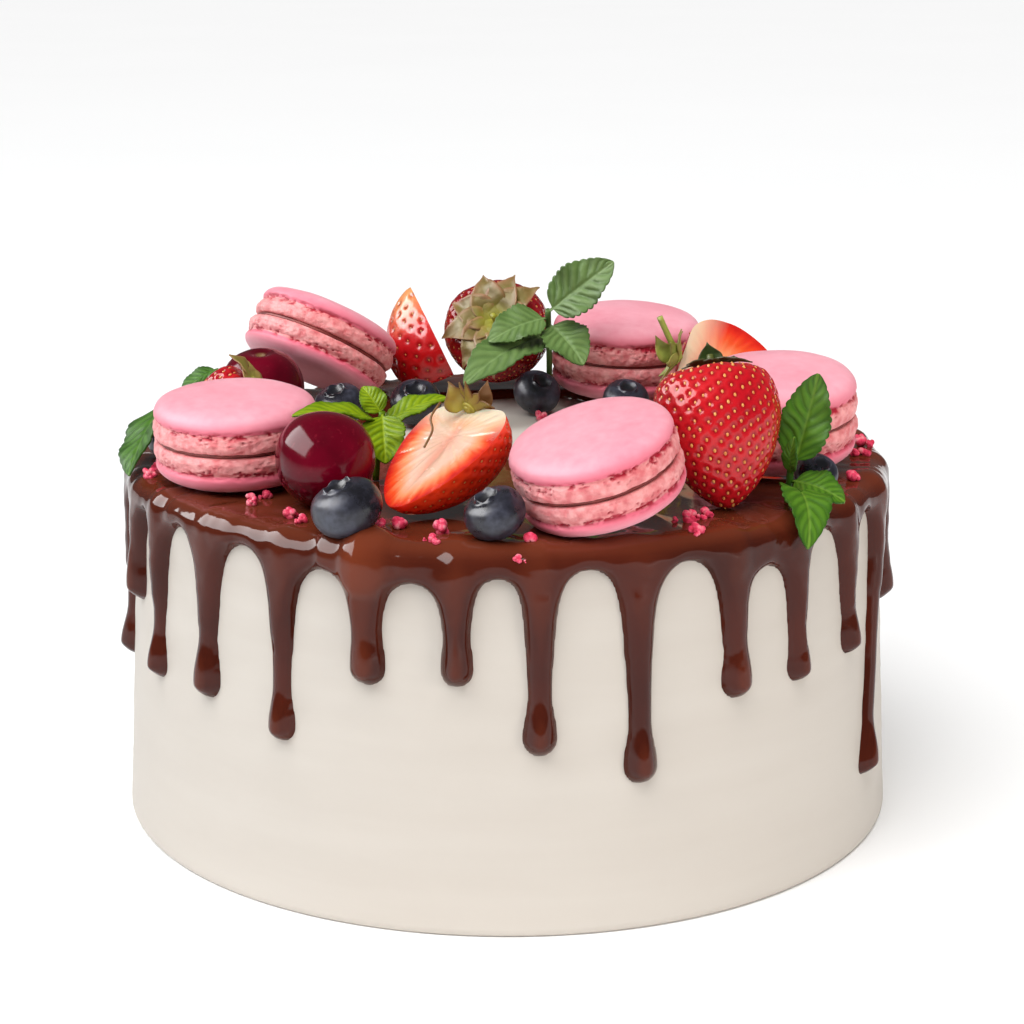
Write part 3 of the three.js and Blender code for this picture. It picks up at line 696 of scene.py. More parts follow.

# %% [markdown]
# ## Macarons
# A macaron shell is a smooth dome over a foot: the batter that rose and burst round the edge while it
# baked. The dome is a turned profile. The foot is the same profile pushed in and out by noise, with
# sharp pits, and its depth is kept as a mask so that painted shade darkens the pits and the crevice
# under the dome. The filling disc in the frame says where each macaron lies and how it leans.

# %% Shell shape
MACARON_RADIUS = 20.3
SHELL_ROWS = 92
SHELL_SEGMENTS = 280
CREVICE_HEIGHT = 4.25
SHELL_KNOTS = np.array([
    (0, 0.2), (0.5, 0.15), (0.84, 0.05), (0.92, -0.35), (0.965, -0.3), (0.992, 0.4), (1.0, 1.4),
    (0.995, 2.5), (0.985, 3.4), (0.966, 4.1), (0.972, 4.7), (0.984, 5.4), (0.975, 6.3), (0.945, 7.3),
    (0.875, 8.35), (0.74, 9.25), (0.52, 9.9), (0.27, 10.2), (0, 10.3),
])


def macaron_shell(wide, thick, seed):
    """A shell with its flat underside at height 0, its points, faces and the masks of its foot."""
    knots = SHELL_KNOTS * (MACARON_RADIUS * wide, thick)
    profile = curve_through(knots, SHELL_ROWS, on_axis=True)
    points, faces, _ = revolve(profile, SHELL_SEGMENTS)
    height = points[:, 2] / thick
    reach = np.hypot(points[:, 0], points[:, 1]) / wide
    outer = smooth_step(reach, 0.8 * MACARON_RADIUS, 0.9 * MACARON_RADIUS)
    wobble = grain(points * (1, 1, 0.2), 8, 2, seed=seed)
    line = height - 0.35 * wobble - CREVICE_HEIGHT
    foot = outer * (1 - smooth_step(line, -0.1, 0.35))
    ruffle = grain(points * (1, 1, 1.6), 4.2, 2, seed=seed + 3)
    crumb = grain(points, 1.3, 2, seed=seed + 4)
    bubbles = pits(points * (1, 1, 1.25), 1.25, seed=seed + 5)
    torn = smooth_step(0.7 * ruffle + crumb, -0.1, 0.25)
    crevice = np.exp(-(((line + 0.2) / 0.8) ** 2)) * torn
    near_line = np.exp(-(((line + 0.9) / 1.3) ** 2))
    pit = (1 - smooth_step(bubbles, 0.16, 0.4)) * (0.25 + 0.75 * near_line) * smooth_step(ruffle, -0.3, 0.3)
    lip = np.exp(-(((line - 0.75) / 0.4) ** 2)) * grain(points, 2.4, 2, seed=seed + 9)
    push = foot * (0.32 * ruffle + 0.2 * crumb - 0.7 * pit)
    push = push + outer * (0.2 * wobble - 0.5 * crevice + 0.22 * lip)
    off_axis = reach > 1
    points[off_axis, :2] *= (1 + push[off_axis] / reach[off_axis])[:, None]
    dome = smooth_step(height, 6, 9)
    points[:, 2] += dome * 0.2 * grain(points, 13, 2, seed=seed + 7)
    low = outer * (1 - smooth_step(height, 4.2, 8.6))
    return points, faces, {"foot": foot, "pit": np.clip(1.2 * outer * crevice + foot * pit, 0, 1), "low": low}


# %% Shell and filling finishes
shell_finish = Finish("macaron_shell", Roughness=0.62, Sheen_Weight=0.15, Sheen_Roughness=0.5)
speckle = shell_finish.noise(420.0, 4.0)
blush = shell_finish.noise(45.0, 2.0) * 0.6 + speckle * 0.4
dome_colour = shell_finish.ramp(blush, (0.32, (0.79, 0.25, 0.32)), (0.68, (0.87, 0.39, 0.46)))
dome_colour = shell_finish.mix(shell_finish.mask("low"), dome_colour, (0.80, 0.14, 0.21))
foot_colour = shell_finish.ramp(speckle, (0.35, (0.70, 0.155, 0.165)), (0.65, (0.89, 0.37, 0.36)))
painted = shell_finish.mix(shell_finish.mask("foot"), dome_colour, foot_colour)
# Painted shade: the pits and the crevice under the dome are painted dark crimson
shell_finish.set("Base Color", shell_finish.mix(shell_finish.mask("pit"), painted, (0.44, 0.008, 0.03)))
shell_finish.set("Roughness", shell_finish.level(speckle, 0.3, 0.7) * 0.15 + 0.52)
grains = shell_finish.mask("foot") * (shell_finish.noise(1100.0, 3.0) * 1.6)
shell_finish.bump(speckle * 0.4 + grains, 0.00025, 0.6)

filling_finish = Finish("berry_cream", Roughness=0.5)
fruity = filling_finish.noise(180.0, 3.0)
fruity = filling_finish.ramp(fruity, (0.3, (0.16, 0.025, 0.022)), (0.7, (0.28, 0.055, 0.045)))
filling_finish.set("Base Color", fruity)
filling_finish.bump(filling_finish.noise(300.0, 3.0), 0.0002, 0.5)
print("finishes", shell_finish.material.name, "and", filling_finish.material.name)

# %% Five macarons
# Width and thickness of each, as shares of the shell above
MACARON_SIZES = ((0.98, 0.97), (1, 0.94), (0.95, 0.94), (1.03, 1.08), (0.99, 1.1))
FILLING_HALF = 0.85
FILLING_REACH = 0.94
FILLING_SEGMENTS = 96
# Half of its outline: shares of its reach, and heights from its middle
FILLING_KNOTS = ((0, FILLING_HALF), (0.6, FILLING_HALF), (0.94, FILLING_HALF), (1, 0.3))


def node_points(node):
    """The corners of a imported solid, in millimetres."""
    return np.array([vertex.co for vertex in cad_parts[node].data.vertices]) / MM


def filling_place(node):
    """Centre and upward axis of a packed filling disc."""
    corners = np.unique(np.round(node_points(node), 3), axis=0)
    centre = corners.mean(axis=0)
    axis = np.linalg.svd(corners - centre)[2][2]
    return centre, axis * np.sign(axis[2])


for number, (wide, thick) in enumerate(MACARON_SIZES, 1):
    name = f"macaron_{number}"
    centre, axis = filling_place(f"{name}_filling")
    rows = standing(axis, 37 * number)
    for side, flip, seed in (("upper", 1, 10 * number), ("lower", -1, 10 * number + 5)):
        points, faces, masks = macaron_shell(wide, thick, seed)
        points = (points + (0, 0, FILLING_HALF)) * (1, flip, flip)
        node = f"{name}_{side}_shell"
        piece(f"{node}_baked", centre + points @ rows, faces, shell_finish, [node], masks)
    under = np.array(FILLING_KNOTS) * (FILLING_REACH * MACARON_RADIUS * wide, -1)
    points, faces, _ = revolve(np.vstack([under, under[::-1] * (1, -1)]), FILLING_SEGMENTS)
    points[:, :2] *= (1 + 0.012 * grain(points, 5, 2, seed=number))[:, None]
    piece(f"{name}_cream", centre + points @ rows, faces, filling_finish, [f"{name}_filling"])
print(len(MACARON_SIZES), "macarons")

# %% [markdown]
# ## Cherries
# A cherry is nearly a ball, a little heart-shaped, with a dimple where its stem came out and a shallow
# line down one side. The skin is taut and glossy, so the card on the left shows in it as a clear patch.

# %% Cherry outline and skin
FRUIT_SEGMENTS = 72
CHERRY_ROWS = 44
CHERRY_RADIUS = 11.6
CHERRY_KNOTS = np.array([
    (0, -0.97), (0.42, -0.89), (0.8, -0.6), (0.99, -0.12), (0.96, 0.32), (0.74, 0.7), (0.38, 0.9),
    (0.14, 0.87), (0, 0.8),
])

cherry_finish = Finish("cherry_skin", Roughness=0.12, Specular_IOR_Level=0.22)
freckles = cherry_finish.noise(700.0, 2.0)
clouds = cherry_finish.noise(70.0, 3.0)
skin = cherry_finish.ramp(clouds, (0.3, (0.062, 0.0004, 0.005)), (0.7, (0.155, 0.0009, 0.012)))
skin = cherry_finish.mix(cherry_finish.level(freckles, 0.64, 0.74) * 0.2, skin, (0.35, 0.02, 0.04))
cherry_finish.set("Base Color", cherry_finish.mix(cherry_finish.mask("scar"), skin, (0.18, 0.10, 0.04)))
uneven = cherry_finish.level(clouds, 0.3, 0.7) * 0.06
cherry_finish.set("Roughness", cherry_finish.mask("scar") * 0.4 + uneven + 0.09)
cherry_finish.bump(clouds, 0.0002, 0.3)
print("cherries", 2 * CHERRY_RADIUS, "mm across")

# %% Two cherries
# Centre, axis towards the dimple, and size
CHERRIES = (((-42.2, -61, 102.4), (0.1, 0.5, 0.86), 1.0), ((-65, 20, 101.8), (0, -0.15, 1), 0.96))

for number, (centre, axis, size) in enumerate(CHERRIES, 1):
    radius = CHERRY_RADIUS * size
    profile = curve_through(CHERRY_KNOTS * radius, CHERRY_ROWS, on_axis=True)
    points, faces, turns = revolve(profile, FRUIT_SEGMENTS)
    suture = np.exp(-(((turns + 0.6) % (2 * np.pi) - np.pi) / 0.12) ** 2)
    points[:, :2] *= (1 - 0.012 * suture)[:, None]
    points *= (1 + 0.012 * grain(points, 14, 2, seed=number + 40))[:, None]
    scar = 1 - smooth_step(np.hypot(points[:, 0], points[:, 1]), 0.07 * radius, 0.15 * radius)
    scar = scar * (points[:, 2] > 0)
    node = f"cherry_{number}"
    points = centre + points @ standing(axis)
    piece(f"{node}_skin", points, faces, cherry_finish, [node], {"scar": scar})
print(len(CHERRIES), "cherries")

# %% [markdown]
# ## Blueberries
# A blueberry is a flattened ball with a five-pointed crown round a shallow cup. A grey bloom lies on
# the dark skin and is rubbed off in places.

# %% Blueberry outline and skin
BLUEBERRY_KNOTS = np.array([
    (0, -0.78), (0.36, -0.74), (0.66, -0.6), (0.88, -0.36), (0.97, -0.06), (0.94, 0.22), (0.82, 0.45),
    (0.63, 0.58), (0.46, 0.62), (0.385, 0.69), (0.33, 0.655), (0.24, 0.58), (0.12, 0.53), (0, 0.52),
])
BLUEBERRY_ROWS = 60
CROWN_SHARE = 0.385
CROWN_POINTS = 5

berry_blue = Finish("blueberry_skin", Roughness=0.4)
bloom = berry_blue.noise(110.0, 4.0, roughness=0.6)
dust = berry_blue.noise(800.0, 3.0)
worn = berry_blue.ramp(
    bloom * 0.75 + dust * 0.25,
    (0.38, (0.009, 0.0085, 0.012)), (0.5, (0.020, 0.020, 0.030)), (0.66, (0.052, 0.056, 0.080)),
)
berry_blue.set("Base Color", berry_blue.mix(berry_blue.mask("cup"), worn, (0.008, 0.008, 0.011)))
berry_blue.set("Roughness", berry_blue.level(bloom, 0.35, 0.65) * 0.3 + 0.2)
berry_blue.bump(dust, 0.0001, 0.3)
print("blueberry skin of", len(berry_blue.tree.nodes), "nodes")

# %% Ten blueberries
# Centre, axis towards the crown, and radius
BLUEBERRIES = (
    ((-35.7, -85, 97.4), (-0.35, -0.1, 0.9), 8.3), ((-2.8, -89.3, 97.2), (-0.4, -0.2, 0.9), 7.2),
    ((32.3, 37, 95.2), (0.1, -0.4, 0.9), 6.6), ((8.2, 48.5, 94.8), (0.3, -0.5, 0.8), 6.8),
    ((-44.4, 17.8, 98), (-0.2, -0.3, 0.9), 7), ((-24.8, 33, 95.4), (0, -0.5, 0.85), 7.2),
    ((-85.2, -13.5, 96.2), (-0.4, -0.2, 0.9), 5.6), ((73, -50, 96.4), (0.3, -0.5, 0.8), 5.4),
    ((-40, 82.5, 97.6), (-0.2, 0.3, 0.9), 7), ((64, 58, 97.8), (0.3, 0.4, 0.85), 7),
)

for number, (centre, axis, radius) in enumerate(BLUEBERRIES, 1):
    profile = curve_through(BLUEBERRY_KNOTS * radius, BLUEBERRY_ROWS, on_axis=True)
    points, faces, turns = revolve(profile, FRUIT_SEGMENTS)
    share = np.hypot(points[:, 0], points[:, 1]) / radius
    on_crown = np.exp(-(((share - CROWN_SHARE) / 0.055) ** 2)) * (points[:, 2] > 0)
    points[:, 2] += on_crown * radius * 0.04 * np.cos(CROWN_POINTS * turns + number)
    points *= (1 + 0.02 * grain(points, 9, 2, seed=number + 60))[:, None]
    cup = (1 - smooth_step(share, 0.24, 0.36)) * (points[:, 2] > 0)
    node = f"blueberry_{number}"
    rows = standing(axis, 50 * number)
    piece(f"{node}_skin", centre + points @ rows, faces, berry_blue, [node], {"cup": cup})
print(len(BLUEBERRIES), "blueberries")

# %% [markdown]
# ## Geometry Nodes for seeds and crumbs
# Seeds lie on a strawberry's skin by the hundred, and a raspberry crumb is a clump of small beads. Both
# are one small ball repeated. The tree below puts a stretched ball on every point, turned by the
# directions stored there, and the result becomes a plain mesh.

# %% A tree that puts small balls on points
def bead_tree(material, segments, rings):
    """Balls on points, with named sizes, turned so that their flat side lies on the surface."""
    tree = bpy.data.node_groups.new("beads", "GeometryNodeTree")
    tree.interface.new_socket("Geometry", in_out="INPUT", socket_type="NodeSocketGeometry")
    for label in ("Width", "Length", "Height"):
        tree.interface.new_socket(label, in_out="INPUT", socket_type="NodeSocketFloat")
    tree.interface.new_socket("Geometry", in_out="OUTPUT", socket_type="NodeSocketGeometry")
    nodes, link = tree.nodes, tree.links.new
    entry, leave = nodes.new("NodeGroupInput"), nodes.new("NodeGroupOutput")
    ball, sizes = nodes.new("GeometryNodeMeshUVSphere"), nodes.new("ShaderNodeCombineXYZ")
    for label, value in (("Segments", segments), ("Rings", rings), ("Radius", 1.0)):
        ball.inputs[label].default_value = value
    for socket, label in enumerate(("Width", "Length", "Height")):
        link(entry.outputs[label], sizes.inputs[socket])
    stretch = nodes.new("GeometryNodeTransform")
    link(ball.outputs["Mesh"], stretch.inputs["Geometry"])
    link(sizes.outputs[0], stretch.inputs["Scale"])

    def stored(name, kind, output):
        reader = nodes.new("GeometryNodeInputNamedAttribute")
        reader.data_type = kind
        reader.inputs["Name"].default_value = name
        return reader.outputs[output]

    upright, along = (nodes.new("FunctionNodeAlignRotationToVector") for _ in range(2))
    upright.axis, along.axis, along.pivot_axis = "Z", "Y", "Z"
    link(stored("lifted", "FLOAT_VECTOR", "Attribute"), upright.inputs["Vector"])
    link(upright.outputs[0], along.inputs["Rotation"])
    link(stored("along", "FLOAT_VECTOR", "Attribute"), along.inputs["Vector"])
    spread = nodes.new("GeometryNodeInstanceOnPoints")
    link(entry.outputs["Geometry"], spread.inputs["Points"])
    link(stretch.outputs["Geometry"], spread.inputs["Instance"])
    link(along.outputs[0], spread.inputs["Rotation"])
    link(stored("size", "FLOAT", "Attribute"), spread.inputs["Scale"])
    real, paint = nodes.new("GeometryNodeRealizeInstances"), nodes.new("GeometryNodeSetMaterial")
    paint.inputs["Material"].default_value = material
    link(spread.outputs[0], real.inputs[0])
    link(real.outputs[0], paint.inputs["Geometry"])
    link(paint.outputs[0], leave.inputs[0])
    return tree


# %% Making the balls one plain mesh
def beads(name, tree, points, lifted, along, size, extent, nodes):
    """One plain mesh with a ball on every point. The extent is the ball's half width, half length and
    half height in millimetres."""
    carrier = bpy.data.meshes.new(f"{name}_points")
    carrier.from_pydata((points * MM).tolist(), [], [])
    for key, values in (("lifted", lifted), ("along", along)):
        data = carrier.attributes.new(key, "FLOAT_VECTOR", "POINT").data
        data.foreach_set("vector", np.asarray(values, np.float32).ravel())
    carrier.attributes.new("size", "FLOAT", "POINT").data.foreach_set("value", np.asarray(size, np.float32))
    holder = bpy.data.objects.new(f"{name}_holder", carrier)
    bpy.context.collection.objects.link(holder)
    modifier = holder.modifiers.new("beads", "NODES")
    modifier.node_group = tree
    inputs = {s.name: s.identifier for s in tree.interface.items_tree if s.in_out == "INPUT"}
    for label, half in zip(("Width", "Length", "Height"), extent):
        modifier[inputs[label]] = half * MM
    mesh = bpy.data.meshes.new_from_object(holder.evaluated_get(bpy.context.evaluated_depsgraph_get()))
    mesh.name = name
    bpy.data.objects.remove(holder)
    set_on_cake(name, mesh, nodes)


# %% [markdown]
# ## Strawberries
# A strawberry is a turned profile from its tip to its shoulder. Its seeds follow a spiral, each a golden
# angle on from the last, and each sits in a dimple. Three berries are halved. A cut face is white at
# the heart, with a pink seam and threads that run out to an orange and then a red rim. Those fields are
# worked out point by point and stored as masks for the material.

# %% Seeds and their dimples
GOLDEN_ANGLE = math.pi * (3 - math.sqrt(5))
SEEDED_SHARE = 0.93
SEED_SCATTER = 0.35
DIMPLE_DEPTH = 0.42
DIMPLE_REACH = 0.8


def berry_swell(turns):
    """Unevenness of the berry's outline round its axis."""
    return 1 + 0.035 * np.sin(2 * turns + 0.6) + 0.02 * np.sin(3 * turns)


def seed_places(profile, spacing, seed):
    """Seeds by equal shares of the skin's area, each a golden angle on from the last, and each a little
    off its place."""
    draw = np.random.default_rng(seed)
    step = np.hypot(*np.diff(profile, axis=0).T)
    middle = (profile[1:] + profile[:-1]) / 2
    area = np.concatenate([[0], np.cumsum(2 * np.pi * middle[:, 0] * step)])
    seeded = area[-1] * SEEDED_SHARE
    count = int(seeded / spacing**2)
    wanted = (np.arange(count) + 0.6) / count * seeded
    astray = SEED_SCATTER * (2 * draw.random((count, 2)) - 1)
    wanted = np.clip(wanted + 2 * np.pi * np.interp(wanted, area, profile[:, 0]) * astray[:, 0], 1, seeded)
    radius = np.interp(wanted, area, profile[:, 0])
    height = np.interp(wanted, area, profile[:, 1])
    turns = (np.arange(count) * GOLDEN_ANGLE + astray[:, 1] / np.maximum(radius, 1)) % (2 * np.pi)
    radius = radius * berry_swell(turns)
    return np.stack([radius * np.cos(turns), radius * np.sin(turns), height], 1)


def dimpled(points, faces, seeds):
    """The skin pressed in round every seed, and the mask of how deep it is pressed."""
    outward = normals_of(points, faces)
    nearest = np.full(len(points), np.inf)
    for seed in seeds:
        nearest = np.minimum(nearest, np.linalg.norm(points - seed, axis=1))
    press = np.exp(-((nearest / DIMPLE_REACH) ** 2))
    return points - outward * (DIMPLE_DEPTH * press)[:, None], press


# %% A whole berry
BERRY_KNOTS = np.array([
    (0, 0), (0.22, 0.03), (0.54, 0.16), (0.8, 0.34), (0.96, 0.54), (1, 0.7), (0.93, 0.87), (0.68, 0.975),
    (0.25, 0.975), (0, 0.945),
])
SKIN_ROWS = 140
SKIN_COLUMNS = 236


def whole_berry(radius, length, spacing, seed):
    """A berry with its tip at the origin: points, faces, seeds and masks."""
    profile = curve_through(BERRY_KNOTS * (radius, length), SKIN_ROWS, on_axis=True)
    points, faces, turns = revolve(profile, SKIN_COLUMNS)
    points[:, :2] *= berry_swell(turns)[:, None]
    seeds = seed_places(profile, spacing, seed)
    lumps = 1 + 0.022 * grain(np.vstack([points, seeds]), 9, 2, seed=seed)
    points, seeds = points * lumps[: len(points), None], seeds * lumps[len(points):, None]
    points, press = dimpled(points, faces, seeds)
    return points, faces, seeds, {"dimple": press, "height": points[:, 2] / length}


# %% A halved berry
FLAT_COLUMNS = 71
SEEDS_FROM_CUT = 0.6


def half_berry(radius, length, spacing, seed):
    """The half that lies on the -Y side of a plane through the axis, with its cut face on the plane."""
    profile = curve_through(BERRY_KNOTS * (radius, length), SKIN_ROWS, on_axis=True)
    columns = SKIN_COLUMNS // 2
    turns = np.linspace(np.pi, 2 * np.pi, columns)
    height = profile[:, 1:]
    reach = profile[:, :1] * berry_swell(turns)
    skin = np.stack([reach * np.cos(turns), reach * np.sin(turns), height + 0 * turns], -1)
    across = np.linspace(1, -1, FLAT_COLUMNS)
    left, right = skin[:, :1, 0], skin[:, -1:, 0]
    flat_x = (left + right) / 2 + (right - left) / 2 * across
    flat = np.stack([flat_x, 0 * flat_x, height + 0 * across], -1)
    on_skin = SKIN_ROWS * columns
    points = np.vstack([skin.reshape(-1, 3), flat.reshape(-1, 3)])
    flat_faces = grid_faces(SKIN_ROWS, FLAT_COLUMNS, closed=False) + on_skin
    faces = np.vstack([grid_faces(SKIN_ROWS, columns, closed=False), flat_faces])
    seeds = seed_places(profile, spacing, seed)
    seeds = seeds[seeds[:, 1] < -SEEDS_FROM_CUT]
    is_flat = np.arange(len(points)) >= on_skin
    pressed, press = dimpled(points, faces, seeds)
    rim_fade = smooth_step(-points[:, 1], 0.3, 1.5)[:, None]
    points = np.where(is_flat[:, None], points, points + (pressed - points) * rim_fade)
    # The flesh is red near its rim and white at its heart. The rim is left out where the calyx was cut.
    x, z = np.abs(points[:, 0]), points[:, 2]
    rim = np.min(np.hypot(x[:, None] - profile[None, :, 0], z[:, None] - profile[None, :, 1]), axis=1)
    depth_in = rim / radius + 0.5 * smooth_step(z / length, 0.8, 0.97)
    heart = np.hypot(points[:, 0] * 1.1, (z - 0.62 * length) * 0.62)
    angle = np.arctan2(points[:, 0], (z - 0.7 * length) * 0.8)
    rays = np.stack([np.cos(angle) * 9, np.sin(angle) * 9, 0.12 * heart], 1)
    threads = grain(rays, 1.0, 3, seed=seed)
    seam_half = 1.0 + 0.9 * np.exp(-(((z / length - 0.62) / 0.16) ** 2))
    seam = np.exp(-((points[:, 0] / seam_half) ** 2)) * smooth_step(z / length, 0.12, 0.4)
    seam = seam * (1 - smooth_step(z / length, 0.72, 0.9))
    points[:, 1] += np.where(is_flat, 0.14 * threads * smooth_step(rim, 0, 2) - 0.3 * seam, 0)
    masks = {
        "dimple": np.where(is_flat, 0, press), "height": z / length, "cut": is_flat.astype(float),
        "depth_in": depth_in, "threads": 0.5 + 0.5 * threads, "seam": seam,
    }
    return points, faces.tolist(), seeds, masks


# %% Skin and flesh
PALE_HEART = (0.85, 0.53, 0.39)


def skin_colour(finish, shade, ripe, ring, pale_tip):
    """Mottled skin with painted shade in the dimple round each seed, and a pale tip on the berry that has
    one.
    """
    mottle = finish.noise(60.0, 3.0)
    skin = finish.ramp(mottle, (0.3, shade), (0.7, ripe))
    tip = finish.level(finish.mask("height") + (mottle - 0.5) * 0.4, 0.34, 0.04) * pale_tip
    skin = finish.mix(tip, skin, (0.92, 0.36, 0.12))
    # Painted shade: the skin is darkened in the dimple round each seed, by the given share
    return finish.mix(finish.mask("dimple") * ring, skin, (0.20, 0.0015, 0.005))


def wet_skin(finish):
    """Gloss and fine unevenness, so that the card's reflection breaks up into small sparks."""
    finish.set("Roughness", finish.level(finish.noise(220.0), 0.3, 0.7) * 0.12 + 0.17)
    finish.bump(finish.noise(330.0, 3.0) + finish.noise(900.0, 2.0) * 0.3, 0.00035, 0.4)


def whole_finish(name, shade, ripe):
    """Skin of a whole berry, under a thin coat of juice."""
    finish = Finish(name, Roughness=0.24, Specular_IOR_Level=0.2, Coat_Weight=0.4, Coat_Roughness=0.06)
    finish.set("Base Color", skin_colour(finish, shade, ripe, 0.95, 0))
    wet_skin(finish)
    return finish


def cut_finish(name, shade, ripe, ring, pale_tip, spread):
    """Skin and flesh of a halved berry. The flesh turns from red to white over the given spread."""
    finish = Finish(
        name, Roughness=0.26, Coat_Weight=0.3, Coat_Roughness=0.1,
        Subsurface_Weight=0.25, Subsurface_Scale=0.004,
    )
    flesh_depth = finish.mask("depth_in") + (finish.mask("threads") - 0.5) * 0.2
    flesh = finish.ramp(
        flesh_depth * (0.5 / spread),
        (0.0, (0.60, 0.012, 0.008)), (0.06, (0.76, 0.03, 0.010)), (0.15, (0.84, 0.09, 0.02)),
        (0.30, (0.87, 0.32, 0.14)), (0.5, PALE_HEART),
    )
    flesh = finish.mix(finish.level(finish.mask("height"), 0.68, 0.98) * 0.75, flesh, (0.78, 0.72, 0.52))
    flesh = finish.mix(finish.mask("seam") * 0.6, flesh, (0.80, 0.27, 0.18))
    skin = skin_colour(finish, shade, ripe, ring, pale_tip)
    finish.set("Base Color", finish.mix(finish.mask("cut"), skin, flesh))
    wet_skin(finish)
    return finish


bright_berry = whole_finish("bright_strawberry", (0.46, 0.005, 0.012), (0.66, 0.014, 0.02))
dark_berry = whole_finish("dark_strawberry", (0.22, 0.003, 0.008), (0.38, 0.008, 0.012))
orange_cut = cut_finish("orange_cut_berry", (0.90, 0.025, 0.005), (1.0, 0.08, 0.016), 0.25, 0, 0.5)
red_cut = cut_finish("red_cut_berry", (0.52, 0.006, 0.008), (0.70, 0.018, 0.012), 0.9, 0, 1.1)
pale_tipped = cut_finish("pale_tipped_berry", (0.52, 0.004, 0.008), (0.72, 0.012, 0.012), 0.9, 1, 0.5)
print("five skins")

# %% Seed finish
SEED_SEGMENTS, SEED_RINGS = 8, 5

seed_finish = Finish("strawberry_seed", Roughness=0.3)
golden = seed_finish.noise(300.0, 1.0)
golden = seed_finish.ramp(golden, (0.35, (0.62, 0.20, 0.045)), (0.65, (0.80, 0.38, 0.10)))
seed_finish.set("Base Color", golden)
seed_tree = bead_tree(seed_finish.material, SEED_SEGMENTS, SEED_RINGS)
print("seeds of", SEED_SEGMENTS * SEED_RINGS, "faces")

# %% Six strawberries
# Tip, axis towards the calyx, direction of the cut face, radius, length, and if it is halved
STRAWBERRIES = (
    ((50.9, -64.5, 91.7), (-0.1, 0.38, 0.92), (0, -1, 0), 14.5, 33, False),
    ((-26, -76.5, 95.2), (0.56, 0.61, 0.56), (-0.55, -0.45, 0.7), 13.8, 33.5, True),
    ((3.3, 84.5, 97.6), (-0.28, -0.82, 0.5), (0, 0, 1), 14.4, 33, False),
    ((75.5, 30, 97.3), (-0.94, 0.05, 0.34), (-0.2, -0.85, 0.5), 13.6, 31, True),
    ((-81.5, -2, 94), (0.75, 0.03, 0.66), (-0.3, -0.6, 0.75), 8, 21, False),
    ((-27.4, 69.3, 120.6), (0.42, 0.04, -0.9), (0.88, 0.12, 0.46), 15.2, 26.5, True),
)
# Finish, seed spacing and seed size of each
BERRY_LOOKS = (
    (bright_berry, 2.5, 1), (orange_cut, 2.6, 0.62), (dark_berry, 2.5, 0.9),
    (red_cut, 2.5, 0.9), (bright_berry, 2.4, 0.9), (pale_tipped, 3.6, 0.7),
)
SEED_EXTENT = (0.34, 0.5, 0.22)
SEED_LIFT = 0.04

for number, (tip, axis, face, radius, length, halved) in enumerate(STRAWBERRIES, 1):
    shape = half_berry if halved else whole_berry
    finish, spacing, seed_size = BERRY_LOOKS[number - 1]
    points, faces, seeds, masks = shape(radius, length, spacing, 80 + number)
    rows = facing(axis, face)
    node = f"strawberry_{number}"
    piece(f"{node}_skin", tip + points @ rows, faces, finish, [node], masks)
    # Each seed looks away from the axis, and a little towards the berry's nearer end
    lifted = seeds * (1, 1, 0) / np.maximum(np.linalg.norm(seeds[:, :2], axis=1, keepdims=True), 0.1)
    lifted = lifted + (0, 0, 0.9) * (seeds[:, 2:] / length - 0.6)
    lifted /= np.linalg.norm(lifted, axis=1, keepdims=True)
    sunk = seeds - lifted * (DIMPLE_DEPTH - SEED_LIFT)
    size = seed_size * (0.85 + 0.3 * np.random.default_rng(number).random(len(seeds)))
    along = np.tile(rows[2], (len(seeds), 1))
    sunk, lifted = tip + sunk @ rows, lifted @ rows
    beads(f"{node}_seeds", seed_tree, sunk, lifted, along, size, SEED_EXTENT, [node])
print(len(STRAWBERRIES), "strawberries")

# %% [markdown]
# ## Calyxes
# The green star on a strawberry is a ring of narrow pointed sepals round a short stalk. Each sepal is a
# thin strip that widens, tapers and curls. The big one at the back has dried to tan at its edges.

# %% Strips and stalks
STRIP_COLUMNS = 13
STRIP_THICKNESS = 0.3
STALK_CORNERS = 10


def strip(middle, side, lift, half, crinkle, seed):
    """A thin strip along a line of points, with its half widths, and how far over each point lies from
    root to tip and from middle to edge."""
    across = np.linspace(-1, 1, STRIP_COLUMNS)
    front = middle[:, None] + side[:, None] * (half[:, None] * across)[..., None]
    fold = 0.22 * half[:, None] * across**2
    folds = grain(front.reshape(-1, 3), 3.2, 2, seed=seed).reshape(fold.shape)
    fold = fold + crinkle * half.max() * folds * smooth_step(half, 0.1, 0.6)[:, None]
    front = front + lift[:, None] * fold[..., None]
    points, faces = thick_grid(front, front - lift[:, None] * STRIP_THICKNESS)
    along = np.tile(np.repeat(np.linspace(0, 1, len(middle)), STRIP_COLUMNS), 2)
    outer = np.tile(np.abs(across), 2 * len(middle))
    return points, faces, along, outer


def tube(route, radius, mask=0.0):
    """A round stalk along a route, closed at both ends, with one value for both of its masks."""
    tangent = np.gradient(route, axis=0)
    tangent /= np.linalg.norm(tangent, axis=1, keepdims=True)
    side = np.cross(tangent, (0.3, 0.9, 0.1))
    side /= np.linalg.norm(side, axis=1, keepdims=True)
    other = np.cross(tangent, side)
    turns = np.linspace(0, 2 * np.pi, STALK_CORNERS, endpoint=False)[:, None]
    away = np.cos(turns) * side[:, None] + np.sin(turns) * other[:, None]
    rings = route[:, None] + np.reshape(radius, (-1, 1, 1)) * away
    points, faces = capped(rings, route[0], route[-1])
    return points, faces, np.full(len(points), mask), np.full(len(points), mask)


# %% A calyx and its sepals
SEPAL_ROWS = 22
STALK_ROWS = 9


